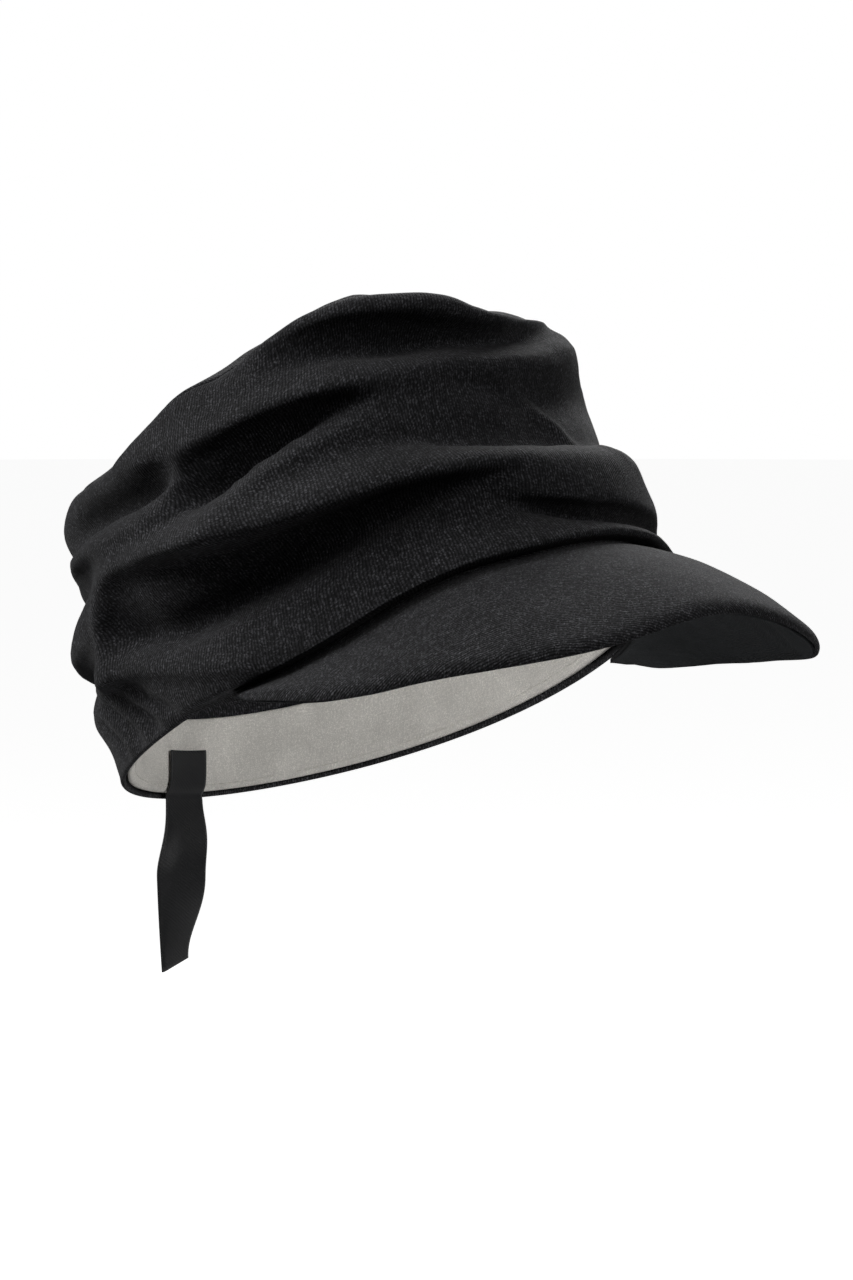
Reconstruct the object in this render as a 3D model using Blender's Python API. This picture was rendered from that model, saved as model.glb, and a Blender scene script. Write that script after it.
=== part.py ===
# Cadet cap of black slub linen, in the shape it has when it is worn.
# The cap faces -Y with its wearer's right at -X; the origin is at the middle of the tilted opening.
# Every cloth wall is worked out from one surface: rings set its plain form, and folds push it in and out.
import math

import bmesh
import bpy
import numpy as np

for item in list(bpy.data.objects):
    bpy.data.objects.remove(item, do_unlink=True)

# Sizes of the opening and the crown
OPENING_LENGTH = 0.178      # front to back, measured level
OPENING_WIDTH = 0.162
OPENING_RISE = 0.041        # the rim's height above the origin at the front
OPENING_DROP = 0.049        # and its depth below the origin at the back
SIDE_DIP = 0.006            # the rim sags this much lower over the ears than a flat plane
FRONT_HEIGHT = 0.071        # rim to top seam at the front, side and back
SIDE_HEIGHT = 0.084
BACK_HEIGHT = 0.084
QUARTER_SWELL = 0.013       # the seam stays high between the front and the sides
TOP_HEIGHT = 0.111          # where the top rests on the skull, above the origin
TOP_BACK = 0.010            # and how far behind the origin
FOLD_DEPTH = 0.010          # one unit of the fold tables' push
FOLD_FADE = 0.3             # share of a fold's run in which it starts or ends
HEM = 0.10                  # folds fade out within this share of the side's height above the rim
CALM = 0.3                  # and within this much of the middle of the top
LEVEL_RIM = 0.04            # the wall is cut level across within this share of the rim
UPRIGHT_TOP = 0.15          # and is upright through within this much of the middle of the top
CLOTH = 0.0016
GAP = 0.0003
SEAM_GAP = 0.0008           # between the side wall and the top, along the seam

# Sizes of the peak
PEAK_LENGTH = 0.061
PEAK_SPREAD = math.radians(79)
PEAK_HEADING = math.radians(38)   # how far its corners point out from straight ahead
PEAK_CAMBER = 0.005
PEAK_CORNER = 0.05          # width left at its corners, as a share of the full width
PEAK_TOP_THICKNESS = 0.0020
PEAK_UNDER_THICKNESS = 0.0015
PEAK_LIP = 0.0012           # the under cloth stops this far inside the rolled edge

# Sizes of the band and the tape
BAND_HEIGHT = 0.024
BAND_THICKNESS = 0.0010
BAND_INSET = 0.0020         # how far the black cloth turns up under the band
BAND_LEAN = 0.0070          # the band's upper edge leans in to the head by this much
BAND_BOW = 0.6              # below 1, the band leans in more near the rim than above
TAPE_WIDTH = 0.020
TAPE_THICKNESS = 0.0012
TAPE_SEAT = 0.016           # how far the tape reaches up inside the band
TAPE_HANG = 0.054           # and how far it hangs below the rim
TAPE_ANGLE = math.radians(168)
TAPE_CURL = 0.004           # its long edges curl out by this much at its lower end
TAPE_TWIST = math.radians(12)

# How finely the cloth is divided
COLUMNS = 80
SIDE_ROWS = 21
TIP_ROWS = 5
TIP_CROWDING = 1.5          # above 1, the top's rows crowd towards the seam
PEAK_COLUMNS = 28
PEAK_ROWS = 5
BAND_ROWS = 2
TAPE_ROWS = 10
TAPE_COLUMNS = 4

# Rings of the plain surface, from the rim at 0 through the top seam at 1 to the middle of the top at 2.
# width is a share of half the opening's width, front and back are shares of half its length, rise is a
# share of the side's height and lift is the share of the way from the seam up and back to the skull.
RINGS = (
    # up,   width, front,  back, rise, lift
    (0.00, 1.000, 1.000, 1.025, 0.00, 0.00),
    (0.12, 1.030, 0.955, 1.060, 0.12, 0.00),
    (0.34, 1.070, 0.880, 1.120, 0.34, 0.00),
    (0.54, 1.060, 0.705, 1.180, 0.54, 0.00),
    (0.77, 1.020, 0.570, 1.212, 0.77, 0.00),
    (1.00, 0.940, 0.455, 1.262, 1.00, 0.00),
    (1.10, 0.840, 0.390, 1.170, 1.02, 0.04),
    (1.50, 0.430, 0.235, 0.575, 1.00, 0.58),
    (1.80, 0.172, 0.105, 0.220, 1.00, 0.93),
    (2.00, 0.000, 0.000, 0.000, 1.00, 1.00),
)
WIDTH, FRONT, BACK, RISE, LIFT = range(1, 6)

# Folds that run round the crown, between two angles in degrees from the front over the wearer's right.
# up is where the fold's path lies at its start, halfway and at its end, as in the rings; below and above
# are its reach on either side of the path, as shares of the side's height; out is its push in units of
# FOLD_DEPTH, and droop is how far it hangs down, as a share of the side's height.
ROUND_FOLDS = (
    # from,  to,   up, halfway, end, below, above,   out, droop
    ( -88,  96, 0.09, 0.08, 0.12,  0.06,  0.10,  0.40, 0.00),   # band that bulges over the peak
    (   2, 112, 0.37, 0.27, 0.46,  0.05,  0.05, -0.45, 0.00),   # deep valley over the band
    (  10, 118, 0.43, 0.41, 0.62,  0.07,  0.08,  0.95, 0.06),   # roll above that valley
    (-112,  44, 0.34, 0.40, 0.45,  0.09,  0.06,  0.38, 0.03),   # pouch over the brow
    ( -66,  22, 0.22, 0.24, 0.29,  0.05,  0.05, -0.40, 0.00),   # hollow under the pouch
    ( -56,  22, 0.53, 0.54, 0.57,  0.05,  0.05, -0.40, 0.00),   # notch over the pouch
    ( -30,  76, 0.64, 0.64, 0.56,  0.11,  0.09,  0.30, 0.00),   # plain part above the roll
    ( -54,  10, 0.74, 0.74, 0.72,  0.07,  0.07, -0.25, 0.00),   # flat over the brow
    (  28,  88, 0.77, 0.79, 0.60,  0.06,  0.06, -0.80, 0.00),   # deep valley at the temple
    ( -34,  90, 0.87, 0.83, 0.91,  0.07,  0.06,  0.55, 0.03),   # ridge above the temple valley
    ( -34,  50, 0.93, 0.92, 0.97,  0.05,  0.06, -0.65, 0.00),   # valley under the top edge
    ( -30,  62, 1.06, 1.10, 1.12,  0.09,  0.10,  0.10, 0.00),   # roll along the top edge
    ( -84,   4, 0.98, 0.98, 1.00,  0.20,  0.26, -0.35, 0.00),   # dent at the far front corner
    (  70, 124, 0.76, 0.84, 0.90,  0.05,  0.05, -0.60, 0.00),   # valley behind the temple
    (  56, 114, 0.66, 0.72, 0.80,  0.06,  0.05,  0.35, 0.00),   # ridge that crosses below it
    (  98, 238, 0.62, 0.58, 0.60,  0.06,  0.06, -0.50, 0.00),   # waist at the back
    ( 108, 256, 0.48, 0.46, 0.48,  0.09,  0.08,  0.55, 0.03),   # roll round the back
    ( 108, 250, 0.34, 0.30, 0.32,  0.06,  0.06, -0.50, 0.00),   # valley under that roll
    (  98, 254, 0.92, 0.90, 0.91,  0.08,  0.08,  0.30, 0.02),   # roll under the seam at the back
    (-122, -24, 0.44, 0.29, 0.32,  0.05,  0.05, -0.40, 0.00),   # valley over the band, left
    (-110, -34, 0.68, 0.78, 0.78,  0.05,  0.05, -0.70, 0.00),   # temple valley, left
    (-124, -16, 0.84, 0.88, 0.88,  0.07,  0.06,  0.40, 0.02),   # ridge above it, left
    (-154, -62, 0.62, 0.64, 0.58,  0.08,  0.08,  0.40, 0.00),   # roll behind the left temple
    ( 112, 246, 1.18, 1.22, 1.17,  0.11,  0.12, -0.25, 0.00),   # sag of the top behind the skull
    (  96, 226, 1.44, 1.50, 1.42,  0.12,  0.10,  0.30, 0.00),   # ridge of the top above the sag
)
# Folds that run up the crown, between two shares up; turn is where the path lies at its start, halfway and
# at its end, in degrees, and left and right are the reach on either side, as shares of the side's height.
RISING_FOLDS = (
    # from, to,   turn, halfway, end, left, right,  out, droop
    (0.66, 0.38,  106, 101, 112,  0.04,  0.04,  0.25, 0.00),   # pucker behind the ear
    (0.90, 0.50,  150, 146, 152,  0.05,  0.05, -0.20, 0.00),   # crease at the back, right
    (0.88, 0.42,  214, 208, 204,  0.05,  0.05, -0.20, 0.00),   # crease at the back, left
)

# Sections of the peak, from its middle to its corner: side is a share of its spread, length a share of
# its length before the round of its corner, and slope is in degrees down from level.
PEAK_SECTIONS = (
    # side, length, slope
    (0.00, 1.00, 14.0),
    (0.33, 1.07, 15.8),
    (0.66, 0.90, 18.0),
    (1.00, 0.72, 18.0),
)
SIDE, LENGTH, SLOPE = range(3)


def through_rows(rows, column, where):
    """A smooth curve through one column of a table, read at the given places of its first column."""
    knots = np.array([row[0] for row in rows], float)
    values = np.array([row[column] for row in rows], float)
    slopes = np.gradient(values, knots)
    where = np.clip(where, knots[0], knots[-1])
    low = np.clip(np.searchsorted(knots, where, side="right") - 1, 0, len(knots) - 2)
    step = knots[low + 1] - knots[low]
    s = (where - knots[low]) / step
    return ((1 + 2 * s) * (1 - s) ** 2 * values[low] + s * (1 - s) ** 2 * step * slopes[low]
            + s * s * (3 - 2 * s) * values[low + 1] + s * s * (s - 1) * step * slopes[low + 1])


def rim_height(angle):
    """Height of the rim: a tilted plane that dips over the ears."""
    tilt = (OPENING_RISE + OPENING_DROP) / 2
    middle = (OPENING_RISE - OPENING_DROP) / 2
    return middle + tilt * np.cos(angle) - SIDE_DIP * np.sin(angle) ** 2


def side_height(angle):
    """Height of the side wall from the rim to the top seam."""
    ends = (FRONT_HEIGHT + BACK_HEIGHT) / 2
    lean = (FRONT_HEIGHT - BACK_HEIGHT) / 2
    even = ends + (SIDE_HEIGHT - ends) * np.sin(angle) ** 2
    return even + lean * np.cos(angle) + QUARTER_SWELL * np.sin(2 * angle) ** 2 * np.cos(angle / 2) ** 2


def plain_crown(angle, up):
    """A point of the crown before it is folded."""
    width = OPENING_WIDTH / 2 * through_rows(RINGS, WIDTH, up)
    front = OPENING_LENGTH / 2 * through_rows(RINGS, FRONT, up)
    back = OPENING_LENGTH / 2 * through_rows(RINGS, BACK, up)
    seam = rim_height(angle) + side_height(angle)
    height = rim_height(angle) + through_rows(RINGS, RISE, up) * side_height(angle)
    height = height + through_rows(RINGS, LIFT, up) * (TOP_HEIGHT - seam)
    x = -width * np.sin(angle)
    y = (back - front) / 2 - (back + front) / 2 * np.cos(angle) + TOP_BACK * through_rows(RINGS, LIFT, up)
    return np.stack([x, y, height], axis=-1)


def normal_of(surface, angle, up, step=0.012):
    """Unit normal of a surface of angle and up, facing out."""
    up = np.clip(up, 0.0, 2.0 - 2 * step)
    along = surface(angle + step, up) - surface(angle - step, up)
    rising = surface(angle, up + step) - surface(angle, up - step)
    across = np.cross(rising, along)
    return across / np.linalg.norm(across, axis=-1, keepdims=True)


def smooth(share):
    """Rises smoothly from 0 to 1 as share does."""
    share = np.clip(share, 0, 1)
    return share * share * (3 - 2 * share)


def fold_strength(along, across, fold):
    """How strongly one fold acts: 1 on its path, fading to either side and towards both ends."""
    start, end, first, halfway, last, low_side, high_side = fold
    share = (along - start) / (end - start)
    bend = halfway - (first + last) / 2
    path = first + (last - first) * share + 4 * bend * share * (1 - share)
    reach = np.where(across < path, low_side, high_side)
    return np.exp(-((across - path) / reach) ** 2) * smooth(np.minimum(share, 1 - share) / FOLD_FADE)


def crown(angle, up):
    """A point of the folded crown, on the cloth's outer face."""
    angle, up = np.broadcast_arrays(np.asarray(angle, float), np.asarray(up, float))
    push = np.zeros(angle.shape)
    slide = np.zeros(angle.shape)
    margin = 30
    for start, end, first, halfway, last, below, above, out, droop in ROUND_FOLDS:
        turn = np.mod(np.degrees(angle) - start + margin, 360) - margin
        strength = fold_strength(turn, up, (0, end - start, first, halfway, last, below, above))
        push += out * strength
        slide += droop * strength
    degrees = math.degrees(SIDE_HEIGHT / (OPENING_WIDTH / 2))
    for start, end, first, halfway, last, left, right, out, droop in RISING_FOLDS:
        turn = np.mod(np.degrees(angle) - first + 180, 360) - 180
        path = (0, halfway - first, last - first)
        strength = fold_strength(up, turn, (start, end, *path, left * degrees, right * degrees))
        push += out * strength
        slide += droop * strength
    hold = smooth(up / HEM) * np.clip((2 - up) / CALM, 0, 1)
    place = up - slide * hold
    return plain_crown(angle, place) + (FOLD_DEPTH * push * hold)[..., None] * normal_of(plain_crown, angle, place)


def rim_frame(angle):
    """The rim's outer line, and the level direction that faces straight out of the cap there."""
    rim = plain_crown(angle, np.zeros_like(angle))
    out = np.stack([-np.sin(angle) / OPENING_WIDTH, -np.cos(angle) / OPENING_LENGTH, 0 * angle], axis=-1)
    return rim, out / np.linalg.norm(out, axis=-1, keepdims=True)


def wall_normal(angle, up):
    """The way through the crown's wall: level at the rim, upright at the middle of the top."""
    rim, out = rim_frame(angle)
    level = np.clip(1 - up / LEVEL_RIM, 0, 1)[..., None]
    upright = np.clip(1 - (2 - up) / UPRIGHT_TOP, 0, 1)[..., None]
    through = normal_of(crown, angle, up) * (1 - level) * (1 - upright)
    through = through + level * out + upright * np.array([0, 0, 1])
    return through / np.linalg.norm(through, axis=-1, keepdims=True)


def spun_sheet(rows, columns, turn=2 * math.pi):
    """A closed wall spun round Z, before it is placed: a row is a height, and a column an angle.

    The rows of one face come first, and those of the other follow in the opposite order."""
    sheet = bmesh.new()
    corners = [sheet.verts.new((1, 0, row)) for row in range(rows)]
    edges = [sheet.edges.new(pair) for pair in zip(corners, corners[1:] + corners[:1])]
    bmesh.ops.spin(sheet, geom=corners + edges, cent=(0, 0, 0), axis=(0, 0, 1), angle=turn,
                   steps=columns, use_merge=turn == 2 * math.pi)
    ends = [edge for edge in sheet.edges if edge.is_boundary]
    bmesh.ops.edgeloop_fill(sheet, edges=ends)
    return sheet


def across_half_turn(turn):
    """Where a point of a sheet spun half round lies: -1 at its first end, 1 at its last."""
    quarter = math.pi / 2
    return (np.mod(turn + quarter, 4 * quarter) - quarter) / quarter - 1


def place_sheet(sheet, place):
    """Move every point of a spun sheet to place(angle, row)."""
    points = np.array([v.co[:] for v in sheet.verts])
    spots = place(np.arctan2(points[:, 1], points[:, 0]), np.rint(points[:, 2]).astype(int))
    for vert, spot in zip(sheet.verts, spots):
        vert.co = spot


def finish(sheet, name, color, roughness):
    """Close the poles, turn the faces out and make the object with its own material."""
    bmesh.ops.remove_doubles(sheet, verts=sheet.verts, dist=0.00001)
    bmesh.ops.delete(sheet, geom=[edge for edge in sheet.edges if edge.is_wire], context="EDGES")
    bmesh.ops.recalc_face_normals(sheet, faces=sheet.faces)
    if sheet.calc_volume(signed=True) < 0:
        bmesh.ops.reverse_faces(sheet, faces=sheet.faces)
    mesh = bpy.data.meshes.new(name)
    sheet.to_mesh(mesh)
    sheet.free()
    mesh.shade_smooth()
    material = bpy.data.materials.new(name)
    material.use_nodes = True
    shader = material.node_tree.nodes["Principled BSDF"]
    shader.inputs["Base Color"].default_value = (*color, 1)
    shader.inputs["Roughness"].default_value = roughness
    shader.inputs["Metallic"].default_value = 0
    mesh.materials.append(material)
    piece = bpy.data.objects.new(name, mesh)
    bpy.context.collection.objects.link(piece)
    return piece


BLACK_LINEN = (0.030, 0.030, 0.032)
PALE_COTTON = (0.52, 0.51, 0.48)
BLACK_TAPE = (0.018, 0.019, 0.023)


def cloth_wall(ups, name, color):
    """One wall of the crown: its outer face at the given rows, and its inner face CLOTH inside it.

    Both walls are cut at the seam along the same line through the cloth, so they stay SEAM_GAP apart."""
    rows = len(ups)
    both = np.concatenate([ups, ups[::-1]])
    at_seam = abs(both - 1) < SEAM_GAP / SIDE_HEIGHT
    cut = np.where(at_seam, 1, both)

    def place(angle, row):
        inside = (row >= rows)[:, None]
        return crown(angle, both[row]) - inside * CLOTH * wall_normal(angle, cut[row])

    sheet = spun_sheet(2 * rows, COLUMNS)
    place_sheet(sheet, place)
    return finish(sheet, name, color, 0.9)


def crown_side():
    """The folded side wall, from the rim up to the top seam."""
    top = 1 - SEAM_GAP / 2 / SIDE_HEIGHT
    return cloth_wall(np.linspace(0, top, SIDE_ROWS + 1), "crown_side", BLACK_LINEN)


def crown_tip():
    """The top of the crown, sewn to the side wall along the seam and lying on the skull."""
    first = 1 + SEAM_GAP / 2 / SIDE_HEIGHT
    closer = np.linspace(0, 1, TIP_ROWS + 1) ** TIP_CROWDING
    return cloth_wall(first + (2 - first) * closer, "crown_tip", BLACK_LINEN)


def peak(side, share):
    """A point of the peak's upper face; side runs from -1 to 1, and share from the rim to its edge."""
    side, share = np.broadcast_arrays(np.asarray(side, float), np.asarray(share, float))
    rim, out = rim_frame(side * PEAK_SPREAD)
    root = rim - CLOTH * out - np.array([0, 0, 2 * GAP])
    even = [(row[SIDE] ** 2, *row[1:]) for row in PEAK_SECTIONS]
    corner = np.sqrt(1 - (1 - PEAK_CORNER ** 2) * np.clip(side ** 2, 0, 1))
    length = corner * (CLOTH + PEAK_LENGTH * through_rows(even, LENGTH, side ** 2))
    slope = np.radians(through_rows(even, SLOPE, side ** 2))
    heading = PEAK_HEADING * side
    level = np.stack([-np.sin(heading), -np.cos(heading), 0 * heading], axis=-1)
    down = level * np.cos(slope)[..., None] - np.array([0, 0, 1]) * np.sin(slope)[..., None]
    rise = level * np.sin(slope)[..., None] + np.array([0, 0, 1]) * np.cos(slope)[..., None]
    arch = PEAK_CAMBER * corner * 4 * share * (1 - share)
    return root + (share * length)[..., None] * down + arch[..., None] * rise


def peak_normal(side, share, step=0.01):
    """Unit normal of the peak's upper face, facing up."""
    side = np.clip(side, -1 + 3 * step, 1 - 3 * step)
    across = peak(side + step, share) - peak(side - step, share)
    along = peak(side, share + step) - peak(side, share - step)
    up = np.cross(along, across)
    up = up / np.linalg.norm(up, axis=-1, keepdims=True)
    upright = (side ** 4)[..., None]
    up = up * np.sign(up[..., 2:3]) * (1 - upright) + upright * np.array([0, 0, 1])
    return up / np.linalg.norm(up, axis=-1, keepdims=True)


def peak_cloth(name, top, thickness, reach):
    """One cloth of the peak, from depth top under its upper face, out to the share reach."""
    rows = PEAK_ROWS + 1
    shares = np.linspace(0, reach, rows)
    both = np.concatenate([shares, shares[::-1]])

    def place(turn, row):
        side = across_half_turn(turn)
        depth = np.where(row < rows, top, top + thickness)
        return peak(side, both[row]) - depth[:, None] * peak_normal(side, both[row])

    sheet = spun_sheet(2 * rows, PEAK_COLUMNS, math.pi)
    place_sheet(sheet, place)
    return finish(sheet, name, BLACK_LINEN, 0.9)


def band_face(angle, share, depth):
    """A point of the sweatband, depth inside its outer face; it leans in, clear of the folds."""
    rim, out = rim_frame(angle)
    rise = BAND_INSET + BAND_HEIGHT * share
    inset = CLOTH + GAP + BAND_LEAN * np.clip(share, 0, 1) ** BAND_BOW + depth
    return plain_crown(angle, rise / side_height(angle)) - inset[..., None] * out


def sweatband():
    """The pale band inside the rim, which the black cloth turns up under."""
    rows = BAND_ROWS + 1
    shares = np.concatenate([np.linspace(0, 1, rows), np.linspace(1, 0, rows)])

    def place(angle, row):
        depth = np.where(row < rows, 0, BAND_THICKNESS)
        return band_face(angle, shares[row], depth)

    sheet = spun_sheet(2 * rows, COLUMNS)
    place_sheet(sheet, place)
    return finish(sheet, "sweatband", PALE_COTTON, 0.85)


def back_tape():
    """The tape, sewn to the inside of the band at the back and hanging out below the rim."""
    rows = TAPE_ROWS + 1
    drops = np.concatenate([np.linspace(0, 1, rows), np.linspace(1, 0, rows)])

    def place(turn, row):
        across = across_half_turn(turn)
        rise = TAPE_SEAT - drops[row] * (TAPE_SEAT + TAPE_HANG)
        hang = np.clip(-rise, 0, None)
        depth = BAND_THICKNESS + GAP + np.where(row < rows, 0, TAPE_THICKNESS)
        angle = TAPE_ANGLE + across * TAPE_WIDTH / OPENING_WIDTH
        spot = band_face(angle, (np.clip(rise, 0, None) - BAND_INSET) / BAND_HEIGHT, depth)
        fallen = hang / TAPE_HANG
        twist = TAPE_TWIST * fallen ** 2
        out = rim_frame(np.full_like(turn, TAPE_ANGLE))[1]
        sideways = np.stack([out[:, 1], -out[:, 0], 0 * turn], axis=-1)
        shift = across * TAPE_WIDTH / 2 * (np.cos(twist) - 1)
        swing = across * TAPE_WIDTH / 2 * np.sin(twist) + TAPE_CURL * fallen * across ** 2
        spot = spot + shift[:, None] * sideways + swing[:, None] * out
        return spot - hang[:, None] * np.array([0, 0, 1])

    sheet = spun_sheet(2 * rows, TAPE_COLUMNS, math.pi)
    place_sheet(sheet, place)
    return finish(sheet, "back_tape", BLACK_TAPE, 0.6)


crown_side()
crown_tip()
peak_cloth("visor_top", 0, PEAK_TOP_THICKNESS, 1)
peak_cloth("visor_under", PEAK_TOP_THICKNESS + GAP, PEAK_UNDER_THICKNESS, 1 - PEAK_LIP / PEAK_LENGTH)
sweatband()
back_tape()
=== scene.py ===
import math

import bmesh
import bpy
import numpy as np
from mathutils import Matrix, Vector, noise


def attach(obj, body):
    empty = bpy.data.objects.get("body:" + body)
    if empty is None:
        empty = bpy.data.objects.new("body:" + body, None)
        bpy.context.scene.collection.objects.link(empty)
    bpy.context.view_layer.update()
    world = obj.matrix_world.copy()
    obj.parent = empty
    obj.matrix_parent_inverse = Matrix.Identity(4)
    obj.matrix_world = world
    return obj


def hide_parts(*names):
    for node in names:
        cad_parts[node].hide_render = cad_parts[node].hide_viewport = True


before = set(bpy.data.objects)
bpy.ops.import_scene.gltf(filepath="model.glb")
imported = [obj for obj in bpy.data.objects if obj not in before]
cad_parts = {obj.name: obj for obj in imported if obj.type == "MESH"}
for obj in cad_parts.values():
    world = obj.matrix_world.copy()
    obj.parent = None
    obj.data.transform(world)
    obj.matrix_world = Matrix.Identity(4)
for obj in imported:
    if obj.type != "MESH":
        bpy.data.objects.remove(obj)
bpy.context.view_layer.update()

# The crown's form. The cap is cut as a tall side wall and a round top of washed black linen. The wall is
# taller than the head needs, so it slouches over itself in soft folds that run round the head. Here it is
# one surface, with rings from the rim at 0 through the top seam at 1 to the middle of the top at 2.
MM = 0.001
OPENING_LENGTH = 178 * MM      # front to back, measured level
OPENING_WIDTH = 162 * MM
OPENING_RISE = 41 * MM         # the rim's height above the origin at the front
OPENING_DROP = 49 * MM         # and its depth below the origin at the back
SIDE_DIP = 6 * MM              # the rim sags this much lower over the ears than a flat plane
FRONT_HEIGHT = 71 * MM         # rim to top seam at the front, side and back
SIDE_HEIGHT = 84 * MM
BACK_HEIGHT = 84 * MM
QUARTER_SWELL = 13 * MM        # the seam stays high between the front and the sides
BROW_SLUMP = 4 * MM            # and slumps this much over the left brow
SLUMP_TURN = math.radians(-24)
SLUMP_REACH = math.radians(32)
TOP_HEIGHT = 111 * MM          # where the top rests on the skull, above the origin
TOP_BACK = 10 * MM             # and how far behind the origin
FOLD_DEPTH = 10 * MM           # one unit of the fold tables' push
HEM_HOLD = 0.02                # folds fade out within this share of the side's height above the rim
TOP_CALM = 0.3                 # and within this much of the middle of the top
NORMAL_STEP = 0.012            # a normal is taken over this much to every side
LEVEL_RIM = 0.04               # the wall is cut level across within this share of the rim
UPRIGHT_TOP = 0.15             # and is upright through within this much of the middle of the top
RIM_WAVE_REACH = 0.2           # the rim's wave fades out within this share of the side's height
RIM_WAVE = (
    # angle in degrees, rise in mm
    (-60, 0), (-35, 0.8), (-19, 2.2), (-4, 2.5), (9, 1.9), (19, 1.7), (31, 2.2), (42, 0.7), (55, -2.2),
    (66, -2.8), (78, -1.0), (92, 0),
)
RINGS = (
    # up,   width, front,  back, rise, lift
    (0.00, 1.000, 1.000, 1.025, 0.00, 0.00),
    (0.12, 1.030, 0.955, 1.060, 0.12, 0.00),
    (0.34, 1.070, 0.880, 1.120, 0.34, 0.00),
    (0.54, 1.060, 0.705, 1.180, 0.54, 0.00),
    (0.77, 1.020, 0.570, 1.212, 0.77, 0.00),
    (1.00, 0.940, 0.455, 1.262, 1.00, 0.00),
    (1.10, 0.840, 0.390, 1.170, 1.02, 0.04),
    (1.50, 0.430, 0.235, 0.575, 1.00, 0.58),
    (1.80, 0.172, 0.105, 0.220, 1.00, 0.93),
    (2.00, 0.000, 0.000, 0.000, 1.00, 1.00),
)
WIDTH, FRONT, BACK, RISE, LIFT = range(1, 6)
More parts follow.
